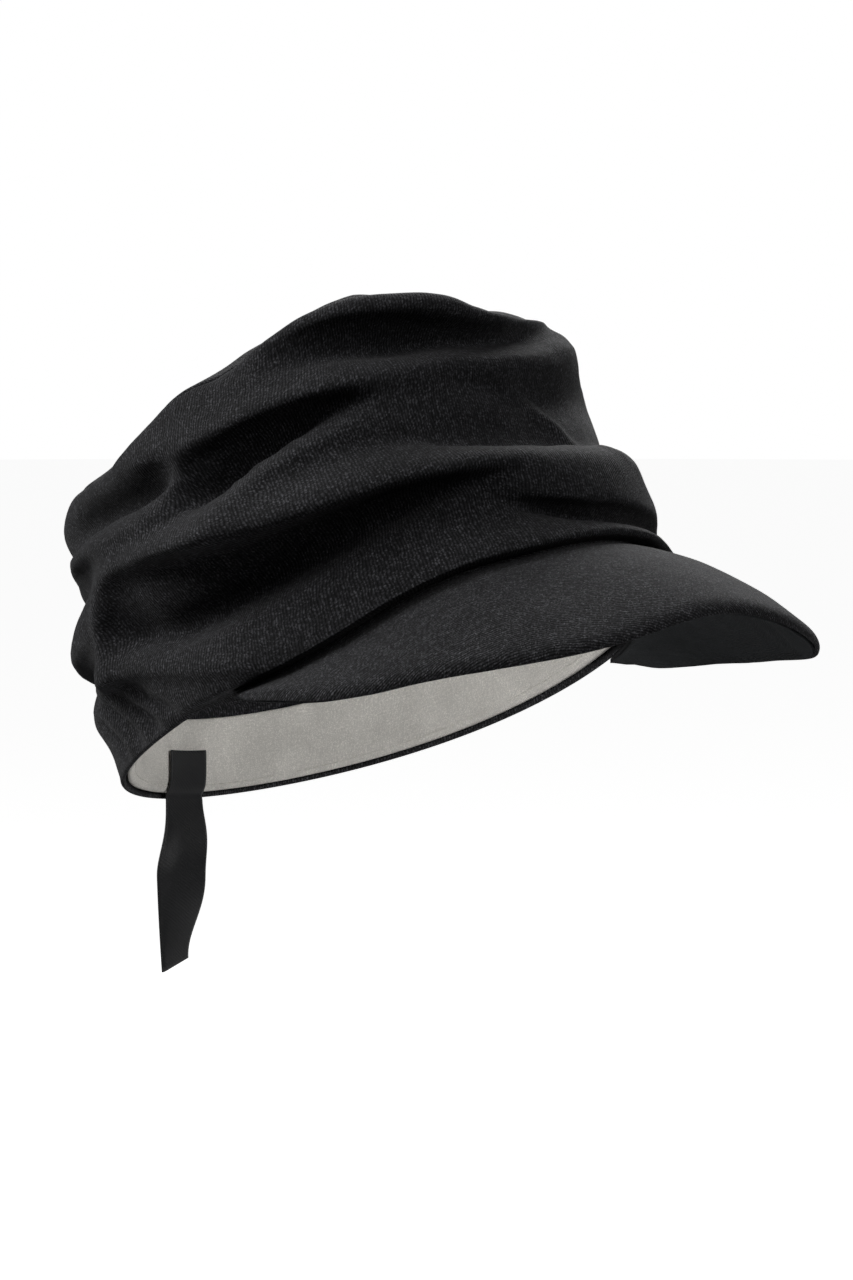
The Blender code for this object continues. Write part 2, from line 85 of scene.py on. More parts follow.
# Folds that run round the crown. Each is a row of places along its path: the angle in degrees from the
# front over the wearer's right, the share up, how far it reaches below and above, and its push out.
ROUND_FOLDS = (
    # band that bulges over the peak
    ((-92, 0.05, 0.04, 0.10, 0), (-60, 0.05, 0.04, 0.07, 0.35), (-20, 0.05, 0.04, 0.04, 0.50),
     (2, 0.05, 0.04, 0.045, 0.55), (12, 0.05, 0.04, 0.07, 0.65), (40, 0.04, 0.03, 0.12, 0.80),
     (70, 0.04, 0.03, 0.12, 0.60), (96, 0.05, 0.04, 0.10, 0.15), (120, 0.05, 0.04, 0.10, 0)),
    # deep valley over the band
    ((10, 0.35, 0.03, 0.03, 0), (20, 0.34, 0.03, 0.03, -0.32), (28, 0.325, 0.04, 0.04, -0.62),
     (37, 0.30, 0.055, 0.06, -0.84), (47, 0.28, 0.06, 0.075, -0.94), (57, 0.265, 0.06, 0.09, -0.98),
     (68, 0.26, 0.06, 0.10, -0.98), (78, 0.25, 0.05, 0.11, -0.96), (88, 0.265, 0.05, 0.12, -0.90),
     (98, 0.33, 0.07, 0.11, -0.66), (108, 0.40, 0.08, 0.09, -0.25), (117, 0.43, 0.08, 0.08, 0)),
    # roll above that valley, and the pouch over the brow
    ((-112, 0.38, 0.09, 0.06, 0), (-60, 0.38, 0.12, 0.06, 0.22), (-22, 0.385, 0.12, 0.06, 0.28),
     (0, 0.385, 0.12, 0.06, 0.44), (20, 0.385, 0.07, 0.06, 0.80), (40, 0.405, 0.06, 0.07, 1.15),
     (56, 0.435, 0.06, 0.08, 1.28), (68, 0.485, 0.07, 0.07, 1.22), (80, 0.54, 0.07, 0.06, 0.85),
     (95, 0.58, 0.06, 0.06, 0.50), (112, 0.57, 0.05, 0.06, 0)),
    # belly of the pouch
    ((-50, 0.22, 0.05, 0.09, 0), (-26, 0.20, 0.04, 0.10, 0.26), (-6, 0.205, 0.035, 0.10, 0.38),
     (8, 0.24, 0.035, 0.08, 0.28), (22, 0.29, 0.04, 0.06, 0)),
    # hollow under the pouch
    ((-60, 0.13, 0.03, 0.03, 0), (-38, 0.12, 0.025, 0.03, -0.35), (-22, 0.11, 0.025, 0.03, -0.42),
     (-5, 0.115, 0.025, 0.03, -0.48), (3, 0.145, 0.03, 0.035, -0.50), (10, 0.175, 0.03, 0.04, -0.35),
     (18, 0.20, 0.03, 0.04, 0)),
    # tuck behind the pouch
    ((-70, 0.50, 0.05, 0.05, 0), (-40, 0.49, 0.04, 0.05, -0.35), (-15, 0.48, 0.03, 0.08, -0.45),
     (0, 0.475, 0.03, 0.09, -0.50), (15, 0.47, 0.03, 0.07, -0.50), (30, 0.48, 0.03, 0.05, -0.25),
     (44, 0.50, 0.03, 0.05, 0)),
    # plain part above the roll
    ((0, 0.62, 0.10, 0.08, 0), (24, 0.61, 0.10, 0.08, 0.15), (45, 0.59, 0.08, 0.06, 0.25),
     (76, 0.56, 0.08, 0.06, 0)),
    # slanting crease over the brow, and the dent behind it
    ((-26, 0.34, 0.05, 0.05, 0), (-17, 0.44, 0.05, 0.05, 0.10), (-8, 0.60, 0.05, 0.05, 0.17),
     (0, 0.69, 0.05, 0.05, 0.12), (10, 0.74, 0.05, 0.05, 0)),
    ((-16, 0.46, 0.05, 0.05, 0), (-2, 0.54, 0.05, 0.05, -0.12), (8, 0.54, 0.05, 0.05, -0.12),
     (20, 0.56, 0.05, 0.05, 0)),
    # flat over the brow
    ((-64, 0.68, 0.12, 0.08, 0), (-34, 0.66, 0.12, 0.08, -0.50), (-14, 0.66, 0.12, 0.08, -0.65),
     (4, 0.68, 0.10, 0.06, -0.30), (22, 0.70, 0.08, 0.05, 0)),
    # deep valley at the temple, and the crisp lip below it
    ((33, 0.655, 0.03, 0.03, 0), (41, 0.65, 0.035, 0.04, -0.36), (50, 0.635, 0.035, 0.055, -0.86),
     (60, 0.62, 0.035, 0.07, -1.02), (69, 0.60, 0.035, 0.085, -1.04), (76, 0.61, 0.04, 0.08, -0.62),
     (84, 0.635, 0.04, 0.05, 0)),
    ((34, 0.59, 0.05, 0.03, 0), (46, 0.575, 0.06, 0.03, 0.30), (56, 0.57, 0.06, 0.03, 0.46),
     (64, 0.555, 0.06, 0.03, 0.52), (71, 0.535, 0.06, 0.03, 0.50), (80, 0.555, 0.05, 0.03, 0.30),
     (90, 0.585, 0.05, 0.03, 0)),
    # ridge above the temple valley
    ((-44, 0.81, 0.10, 0.04, 0), (-18, 0.83, 0.11, 0.03, 0.30), (0, 0.815, 0.12, 0.03, 0.42),
     (12, 0.79, 0.12, 0.04, 0.48), (26, 0.74, 0.09, 0.04, 0.56), (42, 0.73, 0.05, 0.05, 0.62),
     (56, 0.755, 0.05, 0.07, 0.58), (70, 0.80, 0.06, 0.07, 0.45), (84, 0.87, 0.07, 0.06, 0.22),
     (100, 0.92, 0.08, 0.06, 0)),
    # valley under the top edge
    ((-30, 0.92, 0.04, 0.03, 0), (-12, 0.91, 0.04, 0.03, -0.28), (0, 0.90, 0.04, 0.035, -0.42),
     (9, 0.885, 0.045, 0.04, -0.58), (18, 0.86, 0.045, 0.05, -0.82), (28, 0.835, 0.045, 0.06, -0.92),
     (38, 0.835, 0.04, 0.06, -0.74), (48, 0.845, 0.04, 0.05, -0.30), (57, 0.86, 0.04, 0.03, 0)),
    # roll along the top edge, and the sunk seam behind it
    ((-40, 0.97, 0.04, 0.05, 0), (-16, 0.96, 0.04, 0.05, 0.35), (4, 0.955, 0.03, 0.05, 0.70),
     (16, 0.955, 0.03, 0.06, 0.80), (30, 0.94, 0.03, 0.05, 0.50), (42, 0.93, 0.03, 0.05, 0.35),
     (62, 0.95, 0.04, 0.05, 0)),
    ((-44, 1.06, 0.06, 0.10, 0), (-10, 1.07, 0.06, 0.14, -0.70), (16, 1.08, 0.06, 0.12, -0.45),
     (44, 1.06, 0.06, 0.10, -0.30), (64, 1.06, 0.04, 0.08, 0)),
    # slump of the far front corner, and of the top edge over the ear
    ((-86, 0.98, 0.16, 0.30, 0), (-52, 0.98, 0.16, 0.32, -0.60), (-30, 1.00, 0.14, 0.36, -0.60),
     (-10, 1.02, 0.12, 0.34, -0.32), (6, 1.06, 0.10, 0.28, -0.10), (18, 1.08, 0.10, 0.24, 0)),
    ((34, 1.03, 0.08, 0.26, 0), (46, 1.02, 0.10, 0.26, -0.28), (58, 1.00, 0.10, 0.22, -0.46),
     (66, 1.00, 0.09, 0.16, -0.36), (75, 1.01, 0.07, 0.12, -0.02), (84, 1.01, 0.07, 0.12, -0.15),
     (94, 1.00, 0.09, 0.14, -0.45), (107, 0.99, 0.10, 0.14, -0.62), (118, 0.97, 0.08, 0.12, -0.42),
     (126, 0.95, 0.06, 0.10, -0.15), (136, 0.92, 0.06, 0.10, 0)),
    # valley behind the temple, and the ridge below it
    ((74, 0.73, 0.04, 0.06, 0), (84, 0.755, 0.04, 0.05, -0.75), (96, 0.78, 0.04, 0.06, -1.00),
     (110, 0.80, 0.05, 0.06, -0.85), (130, 0.82, 0.05, 0.06, 0)),
    ((70, 0.58, 0.05, 0.04, 0), (84, 0.65, 0.05, 0.04, 0.50), (96, 0.68, 0.06, 0.04, 0.60),
     (112, 0.71, 0.06, 0.04, 0.45), (130, 0.71, 0.06, 0.04, 0)),
    # soft ridge over the rim behind the peak
    ((64, 0.08, 0.05, 0.05, 0), (73, 0.11, 0.05, 0.05, 0.30), (84, 0.16, 0.05, 0.05, 0.40),
     (96, 0.24, 0.05, 0.05, 0.40), (110, 0.29, 0.05, 0.05, 0.30), (126, 0.30, 0.05, 0.05, 0)),
    # swell over the rim at the right of the back
    ((108, 0.24, 0.08, 0.08, 0), (128, 0.24, 0.08, 0.08, 0.20), (152, 0.25, 0.08, 0.08, 0.20),
     (176, 0.26, 0.08, 0.08, 0)),
    # waist, roll and valley round the back
    ((98, 0.62, 0.06, 0.06, 0), (130, 0.60, 0.06, 0.06, -0.50), (168, 0.58, 0.06, 0.06, -0.50),
     (206, 0.59, 0.06, 0.06, -0.50), (238, 0.60, 0.06, 0.06, 0)),
    ((106, 0.48, 0.09, 0.08, 0), (140, 0.49, 0.065, 0.07, 0.55), (182, 0.46, 0.09, 0.07, 0.55),
     (222, 0.47, 0.09, 0.07, 0.55), (256, 0.48, 0.09, 0.08, 0)),
    ((108, 0.35, 0.06, 0.06, 0), (140, 0.345, 0.05, 0.06, -0.52), (180, 0.31, 0.06, 0.06, -0.50),
     (216, 0.31, 0.06, 0.06, -0.50), (250, 0.32, 0.06, 0.06, 0)),
    # roll under the seam at the back
    ((98, 0.92, 0.08, 0.08, 0), (136, 0.90, 0.08, 0.07, 0.30), (176, 0.90, 0.08, 0.07, 0.30),
     (216, 0.91, 0.08, 0.07, 0.30), (254, 0.91, 0.08, 0.08, 0)),
    # valley over the band, temple valley, ridge above it and roll behind it, on the wearer's left
    ((-122, 0.44, 0.05, 0.05, 0), (-98, 0.36, 0.05, 0.05, -0.40), (-72, 0.29, 0.05, 0.08, -0.50),
     (-48, 0.29, 0.05, 0.05, -0.40), (-24, 0.32, 0.05, 0.05, 0)),
    ((-112, 0.68, 0.04, 0.05, 0), (-90, 0.76, 0.04, 0.07, -0.70), (-72, 0.78, 0.04, 0.07, -0.75),
     (-52, 0.79, 0.04, 0.05, -0.50), (-32, 0.78, 0.04, 0.05, 0)),
    ((-124, 0.84, 0.06, 0.05, 0), (-98, 0.88, 0.06, 0.05, 0.40), (-70, 0.89, 0.06, 0.05, 0.45),
     (-42, 0.88, 0.06, 0.05, 0.40), (-16, 0.86, 0.06, 0.05, 0)),
    ((-154, 0.62, 0.08, 0.08, 0), (-128, 0.63, 0.08, 0.07, 0.40), (-96, 0.63, 0.08, 0.06, 0.45),
     (-62, 0.58, 0.08, 0.08, 0)),
    # sag of the top behind the skull, and the ridge above it
    ((112, 1.18, 0.10, 0.12, 0), (144, 1.21, 0.11, 0.12, -0.25), (180, 1.22, 0.11, 0.12, -0.25),
     (214, 1.20, 0.11, 0.12, -0.25), (246, 1.17, 0.10, 0.12, 0)),
    ((96, 1.44, 0.12, 0.10, 0), (128, 1.48, 0.12, 0.10, 0.30), (162, 1.50, 0.12, 0.10, 0.30),
     (196, 1.47, 0.12, 0.10, 0.30), (226, 1.42, 0.12, 0.10, 0)),
)
# Folds that run up the crown, with the share up and the angle, and their reach to either side in degrees.
RISING_FOLDS = (
    # ridge behind the ear
    ((0.22, 112, 5, 5, 0), (0.36, 109, 6, 4, 0.55), (0.47, 106, 6, 4, 0.60), (0.60, 100, 5, 4, 0)),
    # slanting puckers over the rim behind the ear
    ((0.00, 92, 2.6, 2.6, 0), (0.06, 95, 2.6, 2.6, -0.20), (0.14, 101, 2.6, 2.6, -0.22),
     (0.26, 108, 3, 3, 0)),
    ((0.00, 100, 2.6, 2.6, 0), (0.07, 103, 2.6, 2.6, -0.34), (0.16, 109, 2.6, 2.6, -0.30),
     (0.30, 117, 3, 3, 0)),
    ((0.00, 108, 2.6, 2.6, 0), (0.07, 111, 2.6, 2.6, -0.36), (0.17, 117, 2.6, 2.6, -0.34),
     (0.32, 126, 3, 3, 0)),
    ((0.00, 116, 2.6, 2.6, 0), (0.06, 119, 2.6, 2.6, -0.30), (0.14, 124, 2.6, 2.6, -0.26),
     (0.26, 131, 3, 3, 0)),
    # ridge between the temple valley and the one behind it
    ((0.56, 80, 4, 5, 0), (0.64, 78, 4, 5, 0.22), (0.72, 77, 4, 5, 0.22), (0.82, 75, 4, 5, 0)),
    # flat of the wearer's left front, which the head doesn't fill
    ((0.10, -42, 40, 16, 0), (0.22, -42, 40, 16, -0.20), (0.30, -38, 40, 12, -0.30),
     (0.40, -38, 40, 12, -0.42), (0.52, -42, 40, 16, -0.48), (0.68, -44, 40, 18, -0.20),
     (0.80, -46, 40, 18, -0.25), (0.90, -46, 40, 18, -0.36), (1.04, -46, 40, 18, 0)),
    # creases at the back, right and left
    ((0.46, 152, 4, 4, 0), (0.60, 148, 4, 4, -0.20), (0.76, 147, 4, 4, -0.20), (0.92, 150, 4, 4, 0)),
    ((0.40, 204, 4, 4, 0), (0.56, 207, 4, 4, -0.20), (0.74, 210, 4, 4, -0.20), (0.90, 214, 4, 4, 0)),
)
DROOP = 0.055                  # how far a fold that is pushed out by one unit hangs down, as a share
SEAM_HOLD = 0.1                # no fold hangs down within this share of the top seam
LEAST_RISE = 0.25              # and a fold never hangs below this share of its own way up


def through_rows(rows, column, where):
    """A smooth curve through one column of a table, read at the given places of its first column."""
    knots = np.array([row[0] for row in rows], float)
    values = np.array([row[column] for row in rows], float)
    slopes = np.gradient(values, knots)
    where = np.clip(where, knots[0], knots[-1])
    low = np.clip(np.searchsorted(knots, where, side="right") - 1, 0, len(knots) - 2)
    step = knots[low + 1] - knots[low]
    s = (where - knots[low]) / step
    return ((1 + 2 * s) * (1 - s) ** 2 * values[low] + s * (1 - s) ** 2 * step * slopes[low]
            + s * s * (3 - 2 * s) * values[low + 1] + s * s * (s - 1) * step * slopes[low + 1])


def smooth(share):
    """Rises smoothly from 0 to 1 as share does."""
    share = np.clip(share, 0, 1)
    return share * share * (3 - 2 * share)


def near_zero(angle, whole=2 * math.pi):
    """An angle brought to within half a turn of zero."""
    return np.mod(angle + whole / 2, whole) - whole / 2


def rim_height(angle):
    """Height of the rim: a tilted plane that dips over the ears."""
    tilt = (OPENING_RISE + OPENING_DROP) / 2
    middle = (OPENING_RISE - OPENING_DROP) / 2
    return middle + tilt * np.cos(angle) - SIDE_DIP * np.sin(angle) ** 2


def rim_wave(angle):
    """How far the soft rim lies above the tilted plane: it was eased on to the peak, and rides up on it."""
    return MM * through_rows(RIM_WAVE, 1, near_zero(np.degrees(angle), 360))


def side_height(angle):
    """Height of the side wall from the rim to the top seam."""
    ends = (FRONT_HEIGHT + BACK_HEIGHT) / 2
    lean = (FRONT_HEIGHT - BACK_HEIGHT) / 2
    even = ends + (SIDE_HEIGHT - ends) * np.sin(angle) ** 2
    swell = QUARTER_SWELL * np.sin(2 * angle) ** 2 * np.cos(angle / 2) ** 2
    slump = BROW_SLUMP * np.exp(-(near_zero(angle - SLUMP_TURN) / SLUMP_REACH) ** 2)
    return even + lean * np.cos(angle) + swell - slump


def plain_crown(angle, up):
    """A point of the crown before it is folded; angle 0 is the front, and grows over the wearer's right."""
    width = OPENING_WIDTH / 2 * through_rows(RINGS, WIDTH, up)
    front = OPENING_LENGTH / 2 * through_rows(RINGS, FRONT, up)
    back = OPENING_LENGTH / 2 * through_rows(RINGS, BACK, up)
    lift = through_rows(RINGS, LIFT, up)
    seam = rim_height(angle) + side_height(angle)
    height = rim_height(angle) + through_rows(RINGS, RISE, up) * side_height(angle)
    height = height + rim_wave(angle) * np.exp(-(up / RIM_WAVE_REACH) ** 2)
    x = -width * np.sin(angle)
    y = (back - front) / 2 - (back + front) / 2 * np.cos(angle) + TOP_BACK * lift
    return np.stack([x, y, height + lift * (TOP_HEIGHT - seam)], axis=-1)


def normal_of(surface, angle, up, step=NORMAL_STEP):
    """Unit normal of a surface of angle and up, facing out."""
    up = np.clip(up, 0.0, 2.0 - 2 * step)
    along = surface(angle + step, up) - surface(angle - step, up)
    rising = surface(angle, up + step) - surface(angle, up - step)
    across = np.cross(rising, along)
    return across / np.linalg.norm(across, axis=-1, keepdims=True)


def fold_push(along, across, rows):
    """One fold's push: full on its path, and fading to either side."""
    path, low_side, high_side, out = (through_rows(rows, column, along) for column in range(1, 5))
    reach = np.where(across < path, low_side, high_side)
    return out * np.exp(-((across - path) / reach) ** 2)


def crown(angle, up):
    """A point of the folded crown, on the cloth's outer face."""
    angle, up = np.broadcast_arrays(np.asarray(angle, float), np.asarray(up, float))
    push = np.zeros(angle.shape)
    for rows in ROUND_FOLDS:
        start = rows[0][0]
        push += fold_push(start + np.mod(np.degrees(angle) - start, 360), up, rows)
    for rows in RISING_FOLDS:
        middle = rows[1][1]
        push += fold_push(up, middle + near_zero(np.degrees(angle) - middle, 360), rows)
    hold = smooth(up / HEM_HOLD) * np.clip((2 - up) / TOP_CALM, 0, 1)
    hung = DROOP * np.clip(push, 0, None) * hold * smooth((1 - up) / SEAM_HOLD)
    place = np.maximum(up - hung, LEAST_RISE * np.minimum(up, 1))
    outward = normal_of(plain_crown, angle, place)
    return plain_crown(angle, place) + (FOLD_DEPTH * push * hold)[..., None] * outward


def rim_frame(angle):
    """The rim's outer line, and the level direction that faces straight out of the cap there."""
    rim = plain_crown(angle, np.zeros_like(angle))
    out = np.stack([-np.sin(angle) / OPENING_WIDTH, -np.cos(angle) / OPENING_LENGTH, 0 * angle], axis=-1)
    return rim, out / np.linalg.norm(out, axis=-1, keepdims=True)


# The crown's drape. Washed linen is limp and holds small creases, so the form above is let to buckle by a
# cloth simulation: the cloth is cut taller than the form, held to it softly, and shaken down by its own
# weight. Only the wrinkles of that are kept, so that the form stays where the head holds it.
DRAPE_COLUMNS = 200
DRAPE_SIDE_ROWS = 50
DRAPE_TIP_ROWS = 30
DRAPE_TIP_SPREAD = 1.2        # above 1, the rows of the top lie closer near the seam
SPARE_CLOTH = 22 * MM         # the side wall is cut this much taller than its form
DRAPE_HOLD = 0.2              # how firmly the form holds the cloth, where 1 is fixed
DRAPE_FRAMES = 20
FIXED_RIM = 0.04              # the hem is fixed within this share of the rim
FORM_KEPT = 0.85              # share of the drape's broad sag that is taken off again
SAG_ROUNDS = 30               # rounds of averaging that tell a broad sag from a wrinkle


def spun_sheet(rows, columns, turn=2 * math.pi, closed=False):
    """A sheet spun round Z, before it is placed: a row is a height, and a column an angle.

    A closed one joins its last row to its first, and has its ends filled where it isn't spun all round."""
    sheet = bmesh.new()
    corners = [sheet.verts.new((1, 0, row)) for row in range(rows)]
    pairs = list(zip(corners, corners[1:])) + [(corners[-1], corners[0])] * closed
    edges = [sheet.edges.new(pair) for pair in pairs]
    whole = turn == 2 * math.pi
    bmesh.ops.spin(sheet, geom=corners + edges, cent=(0, 0, 0), axis=(0, 0, 1), angle=turn,
                   steps=columns, use_merge=whole)
    if closed and not whole:
        bmesh.ops.edgeloop_fill(sheet, edges=[edge for edge in sheet.edges if edge.is_boundary])
    return sheet


def grid_places(sheet, columns, turn=2 * math.pi):
    """The row, the column and the angle of each point of a spun sheet."""
    points = np.array([vert.co[:] for vert in sheet.verts])
    quarter = math.pi / 2
    angle = np.mod(np.arctan2(points[:, 1], points[:, 0]) + quarter, 4 * quarter) - quarter
    column = np.rint(angle / turn * columns).astype(int)
    if turn == 2 * math.pi:
        column = column % columns
    return np.rint(points[:, 2]).astype(int), column, column * turn / columns


def place_points(sheet, spots):
    """Move the points of a bmesh to their spots."""
    for vert, spot in zip(sheet.verts, spots):
        vert.co = spot


def draped(ups):
    """Simulate the crown's cloth, and give how far each point of its grid moves."""
    sheet = spun_sheet(len(ups), DRAPE_COLUMNS)
    row, column, angle = grid_places(sheet, DRAPE_COLUMNS)
    start = crown(angle, ups[row])
    place_points(sheet, start)
    mesh = bpy.data.meshes.new("crown_drape")
    sheet.to_mesh(mesh)
    sheet.free()
    cloth = bpy.data.objects.new("crown_drape", mesh)
    bpy.context.scene.collection.objects.link(cloth)
    held = cloth.vertex_groups.new(name="held")
    cloth.shape_key_add(name="worn")
    cut = cloth.shape_key_add(name="cut")
    for index, up in enumerate(ups[row]):
        fixed = up < FIXED_RIM or up > 2 - FIXED_RIM
        held.add([index], 1.0 if fixed else DRAPE_HOLD, "REPLACE")
        cut.data[index].co = mesh.vertices[index].co + Vector((0, 0, SPARE_CLOTH * min(up, 1)))
    drape = cloth.modifiers.new("drape", "CLOTH")
    linen = drape.settings
    linen.rest_shape_key = cut
    linen.vertex_group_mass = "held"
    linen.pin_stiffness = 1
    linen.quality = 6
    linen.mass = 0.15
    linen.tension_stiffness = linen.compression_stiffness = 15
    linen.shear_stiffness = 5
    linen.bending_stiffness = 1.5
    linen.tension_damping = linen.compression_damping = linen.shear_damping = 5
    linen.bending_damping = 0.5
    linen.air_damping = 1
    drape.collision_settings.use_collision = False
    drape.point_cache.frame_end = DRAPE_FRAMES + 1
    for number in range(1, DRAPE_FRAMES + 1):
        bpy.context.scene.frame_set(number)
    evaluated = cloth.evaluated_get(bpy.context.evaluated_depsgraph_get())
    moved = np.zeros((len(ups), DRAPE_COLUMNS, 3))
    moved[row, column] = np.array([vert.co[:] for vert in evaluated.data.vertices]) - start
    bpy.context.scene.frame_set(1)
    bpy.data.objects.remove(cloth)
    return moved


def broad_part(moved):
    """What is left of a grid of moves once each point has been averaged with its neighbours many times."""
    for _ in range(SAG_ROUNDS):
        moved = (np.roll(moved, 1, axis=1) + 2 * moved + np.roll(moved, -1, axis=1)) / 4
        for _ in range(2):
            ends = np.concatenate([moved[:1], moved, moved[-1:]])
            moved = (ends[:-2] + 2 * moved + ends[2:]) / 4
    return moved


def curve_weights(share):
    """Weights of four neighbours in a row for a smooth curve between the middle two."""
    a, b, c = share, share ** 2, share ** 3
    return (-a + 2 * b - c) / 2, (2 - 5 * b + 3 * c) / 2, (a + 4 * b - 3 * c) / 2, (c - b) / 2


drape_ups = np.concatenate([np.linspace(0, 1, DRAPE_SIDE_ROWS + 1)[:-1],
                            1 + np.linspace(0, 1, DRAPE_TIP_ROWS + 1) ** DRAPE_TIP_SPREAD])
wrinkle = np.zeros((len(drape_ups), DRAPE_COLUMNS, 3))
wrinkle = draped(drape_ups)
wrinkle -= FORM_KEPT * broad_part(wrinkle)


def drape(angle, up):
    """The wrinkles' push at any place of the crown, read smoothly from the simulated grid."""
    row = np.interp(up, drape_ups, np.arange(len(drape_ups)))
    column = angle / (2 * math.pi) * DRAPE_COLUMNS
    low_row, low_column = np.floor(row).astype(int), np.floor(column).astype(int)
    push = np.zeros((*np.shape(row), 3))
    for step, share in enumerate(curve_weights(row - low_row), -1):
        near_row = np.clip(low_row + step, 0, len(drape_ups) - 1)
        for pace, part in enumerate(curve_weights(column - low_column), -1):
            near = wrinkle[near_row, (low_column + pace) % DRAPE_COLUMNS]
            push += (share * part)[..., None] * near
    return push


def worn_crown(angle, up):
    """A point of the crown as it is worn, folded and wrinkled."""
    angle, up = np.broadcast_arrays(np.asarray(angle, float), np.asarray(up, float))
    return crown(angle, up) + drape(angle, up)


def wall_normal(angle, up, step=NORMAL_STEP):
    """The way through the crown's wall: level at the rim, upright at the middle of the top."""
    level = np.clip(1 - up / LEVEL_RIM, 0, 1)[..., None]
    upright = np.clip(1 - (2 - up) / UPRIGHT_TOP, 0, 1)[..., None]
    through = normal_of(worn_crown, angle, up, step) * (1 - level) * (1 - upright)
    through = through + level * rim_frame(angle)[1] + upright * np.array([0, 0, 1])
    return through / np.linalg.norm(through, axis=-1, keepdims=True)


# The crown's two pieces of cloth. At the rim the side wall is turned up inside as a hem, and at the top
# seam both cloths turn in and are sewn on the inside, so their edges show as two soft lips. The seam draws
# the cloth into small gathers, and the hem ripples where it was eased on to the band.
CLOTH = 0.7 * MM
HEM_THICKNESS = 1.6 * MM       # both layers of the hem, with the fold between them
HEM_TURN = 9 * MM              # how far the cloth turns up inside
SEAM_STEP = 0.05               # the seam's lips turn in along a normal taken over this much up and down
COLUMNS = 360
SIDE_ROWS = 92
TIP_ROWS = 52
TIP_SPREAD = 1.15
CLOTH_ROUND = 2 * math.pi * 86 * MM      # the side wall's length once it is laid flat
SEAM_GATHER = 9 * MM           # spacing, height and reach of the gathers along the seam
SEAM_GATHER_HEIGHT = 0.45 * MM
SEAM_GATHER_REACH = 8 * MM
HEM_GATHER = 18 * MM
HEM_GATHER_HEIGHT = 1.2 * MM
HEM_GATHER_REACH = 12 * MM
HEM_RIDE = 0.56 * MM           # the hem rides up off the peak's sides by this much
HEM_RIDE_SWING = 0.35 * MM     # and by this much more or less along them
HEM_RIDE_REACH = 7 * MM
HEM_RIDE_TURN = math.radians(50)
HEM_RIDE_SPREAD = math.radians(15)
HEM_STILL = 3 * MM             # the hem's gathers grow to their full height over this much
CRUMPLE = 13 * MM              # size and height of the small creases left by washing
CRUMPLE_HEIGHT = 0.35 * MM
# The lip of a turned-in edge: distance from the seam along the wall, and depth under its face.
SEAM_LIP = (
    # from seam, depth, in mm
    (2.4, 0.00),
    (1.7, 0.03),
    (1.1, 0.15),
    (0.7, 0.40),
    (0.4, 0.85),
    (0.2, 1.50),
    (0.2, 2.50),
)


def gathers(spacing, seed):
    """Uneven gathers along a closed line round the cap, from -1 to 1, one value for each column."""
    radius = CLOTH_ROUND / spacing / (2 * math.pi)
    angles = np.arange(COLUMNS) * 2 * math.pi / COLUMNS
    ring = radius * np.stack([np.cos(angles), np.sin(angles)], axis=1)
    return np.array([noise.noise(Vector((x, y, seed))) for x, y in ring])


def lump(points, size, seed):
    """Soft random lumps of a given size, from -1 to 1, at each point."""
    shift = Vector((seed, 2 * seed, 3 * seed))
    return np.array([noise.noise(Vector(point) / size + shift) for point in points])


def hem_rows():
    """Rows up inside the rim, round its fold and on up the outer face, as heights and depths."""
    radius = HEM_THICKNESS / 2
    inside = [(height, HEM_THICKNESS) for height in np.linspace(HEM_TURN, radius, 8)]
    bends = np.radians(np.linspace(0, 180, 9)[1:-1])
    fold = [(radius * (1 - math.sin(bend)), radius * (1 + math.cos(bend))) for bend in bends]
    return inside + fold + [(radius, 0)]


def way_along(spots, row, column):
    """How far along its cloth each point of a grid lies from the first row."""
    grid = np.zeros((row.max() + 1, column.max() + 1, 3))
    grid[row, column] = spots
    steps = np.linalg.norm(np.diff(grid, axis=0), axis=-1)
    return np.concatenate([np.zeros((1, column.max() + 1)), np.cumsum(steps, axis=0)])


def crown_cloth(ups, depths):
    """A bmesh of one of the crown's cloths, the place of its points in its grid, and their way along it."""
    sheet = spun_sheet(len(ups), COLUMNS)
    row, column, angle = grid_places(sheet, COLUMNS)
    up, depth = ups[row], depths[row]
    face = worn_crown(angle, up)
    outward = normal_of(worn_crown, angle, up)
    from_seam = (up - 1) * SIDE_HEIGHT
    from_rim = up * SIDE_HEIGHT
    at_seam = SEAM_GATHER_HEIGHT * gathers(SEAM_GATHER, seed=1.5)[column]
    at_seam = at_seam * np.exp(-(from_seam / SEAM_GATHER_REACH) ** 2)
    at_hem = HEM_GATHER_HEIGHT * gathers(HEM_GATHER, seed=4.5)[column] * smooth(from_rim / HEM_STILL)
    at_hem = at_hem * np.exp(-(from_rim / HEM_GATHER_REACH) ** 2)
    calm = smooth(from_rim / HEM_TURN) * smooth((2 - up) / TOP_CALM)
    crease = CRUMPLE_HEIGHT * (lump(face, CRUMPLE, seed=5.3) + 0.5 * lump(face, CRUMPLE / 2, seed=9.1))
    lift = at_seam + crease * calm
    in_lip = (abs(from_seam) < SEAM_LIP[0][0] * MM)[:, None]
    through = np.where(in_lip, wall_normal(angle, np.ones_like(up), SEAM_STEP), wall_normal(angle, up))
    place = face + lift[:, None] * outward - depth[:, None] * through
    place += at_hem[:, None] * rim_frame(angle)[1]
    over_side = np.exp(-((near_zero(angle) - HEM_RIDE_TURN) / HEM_RIDE_SPREAD) ** 2)
    ride = (HEM_RIDE + HEM_RIDE_SWING * gathers(HEM_GATHER, seed=2.5)[column]) * over_side
    place[:, 2] += ride * np.exp(-(from_rim / HEM_RIDE_REACH) ** 2)
    place_points(sheet, place)
    return sheet, row, column, angle, way_along(place, row, column)


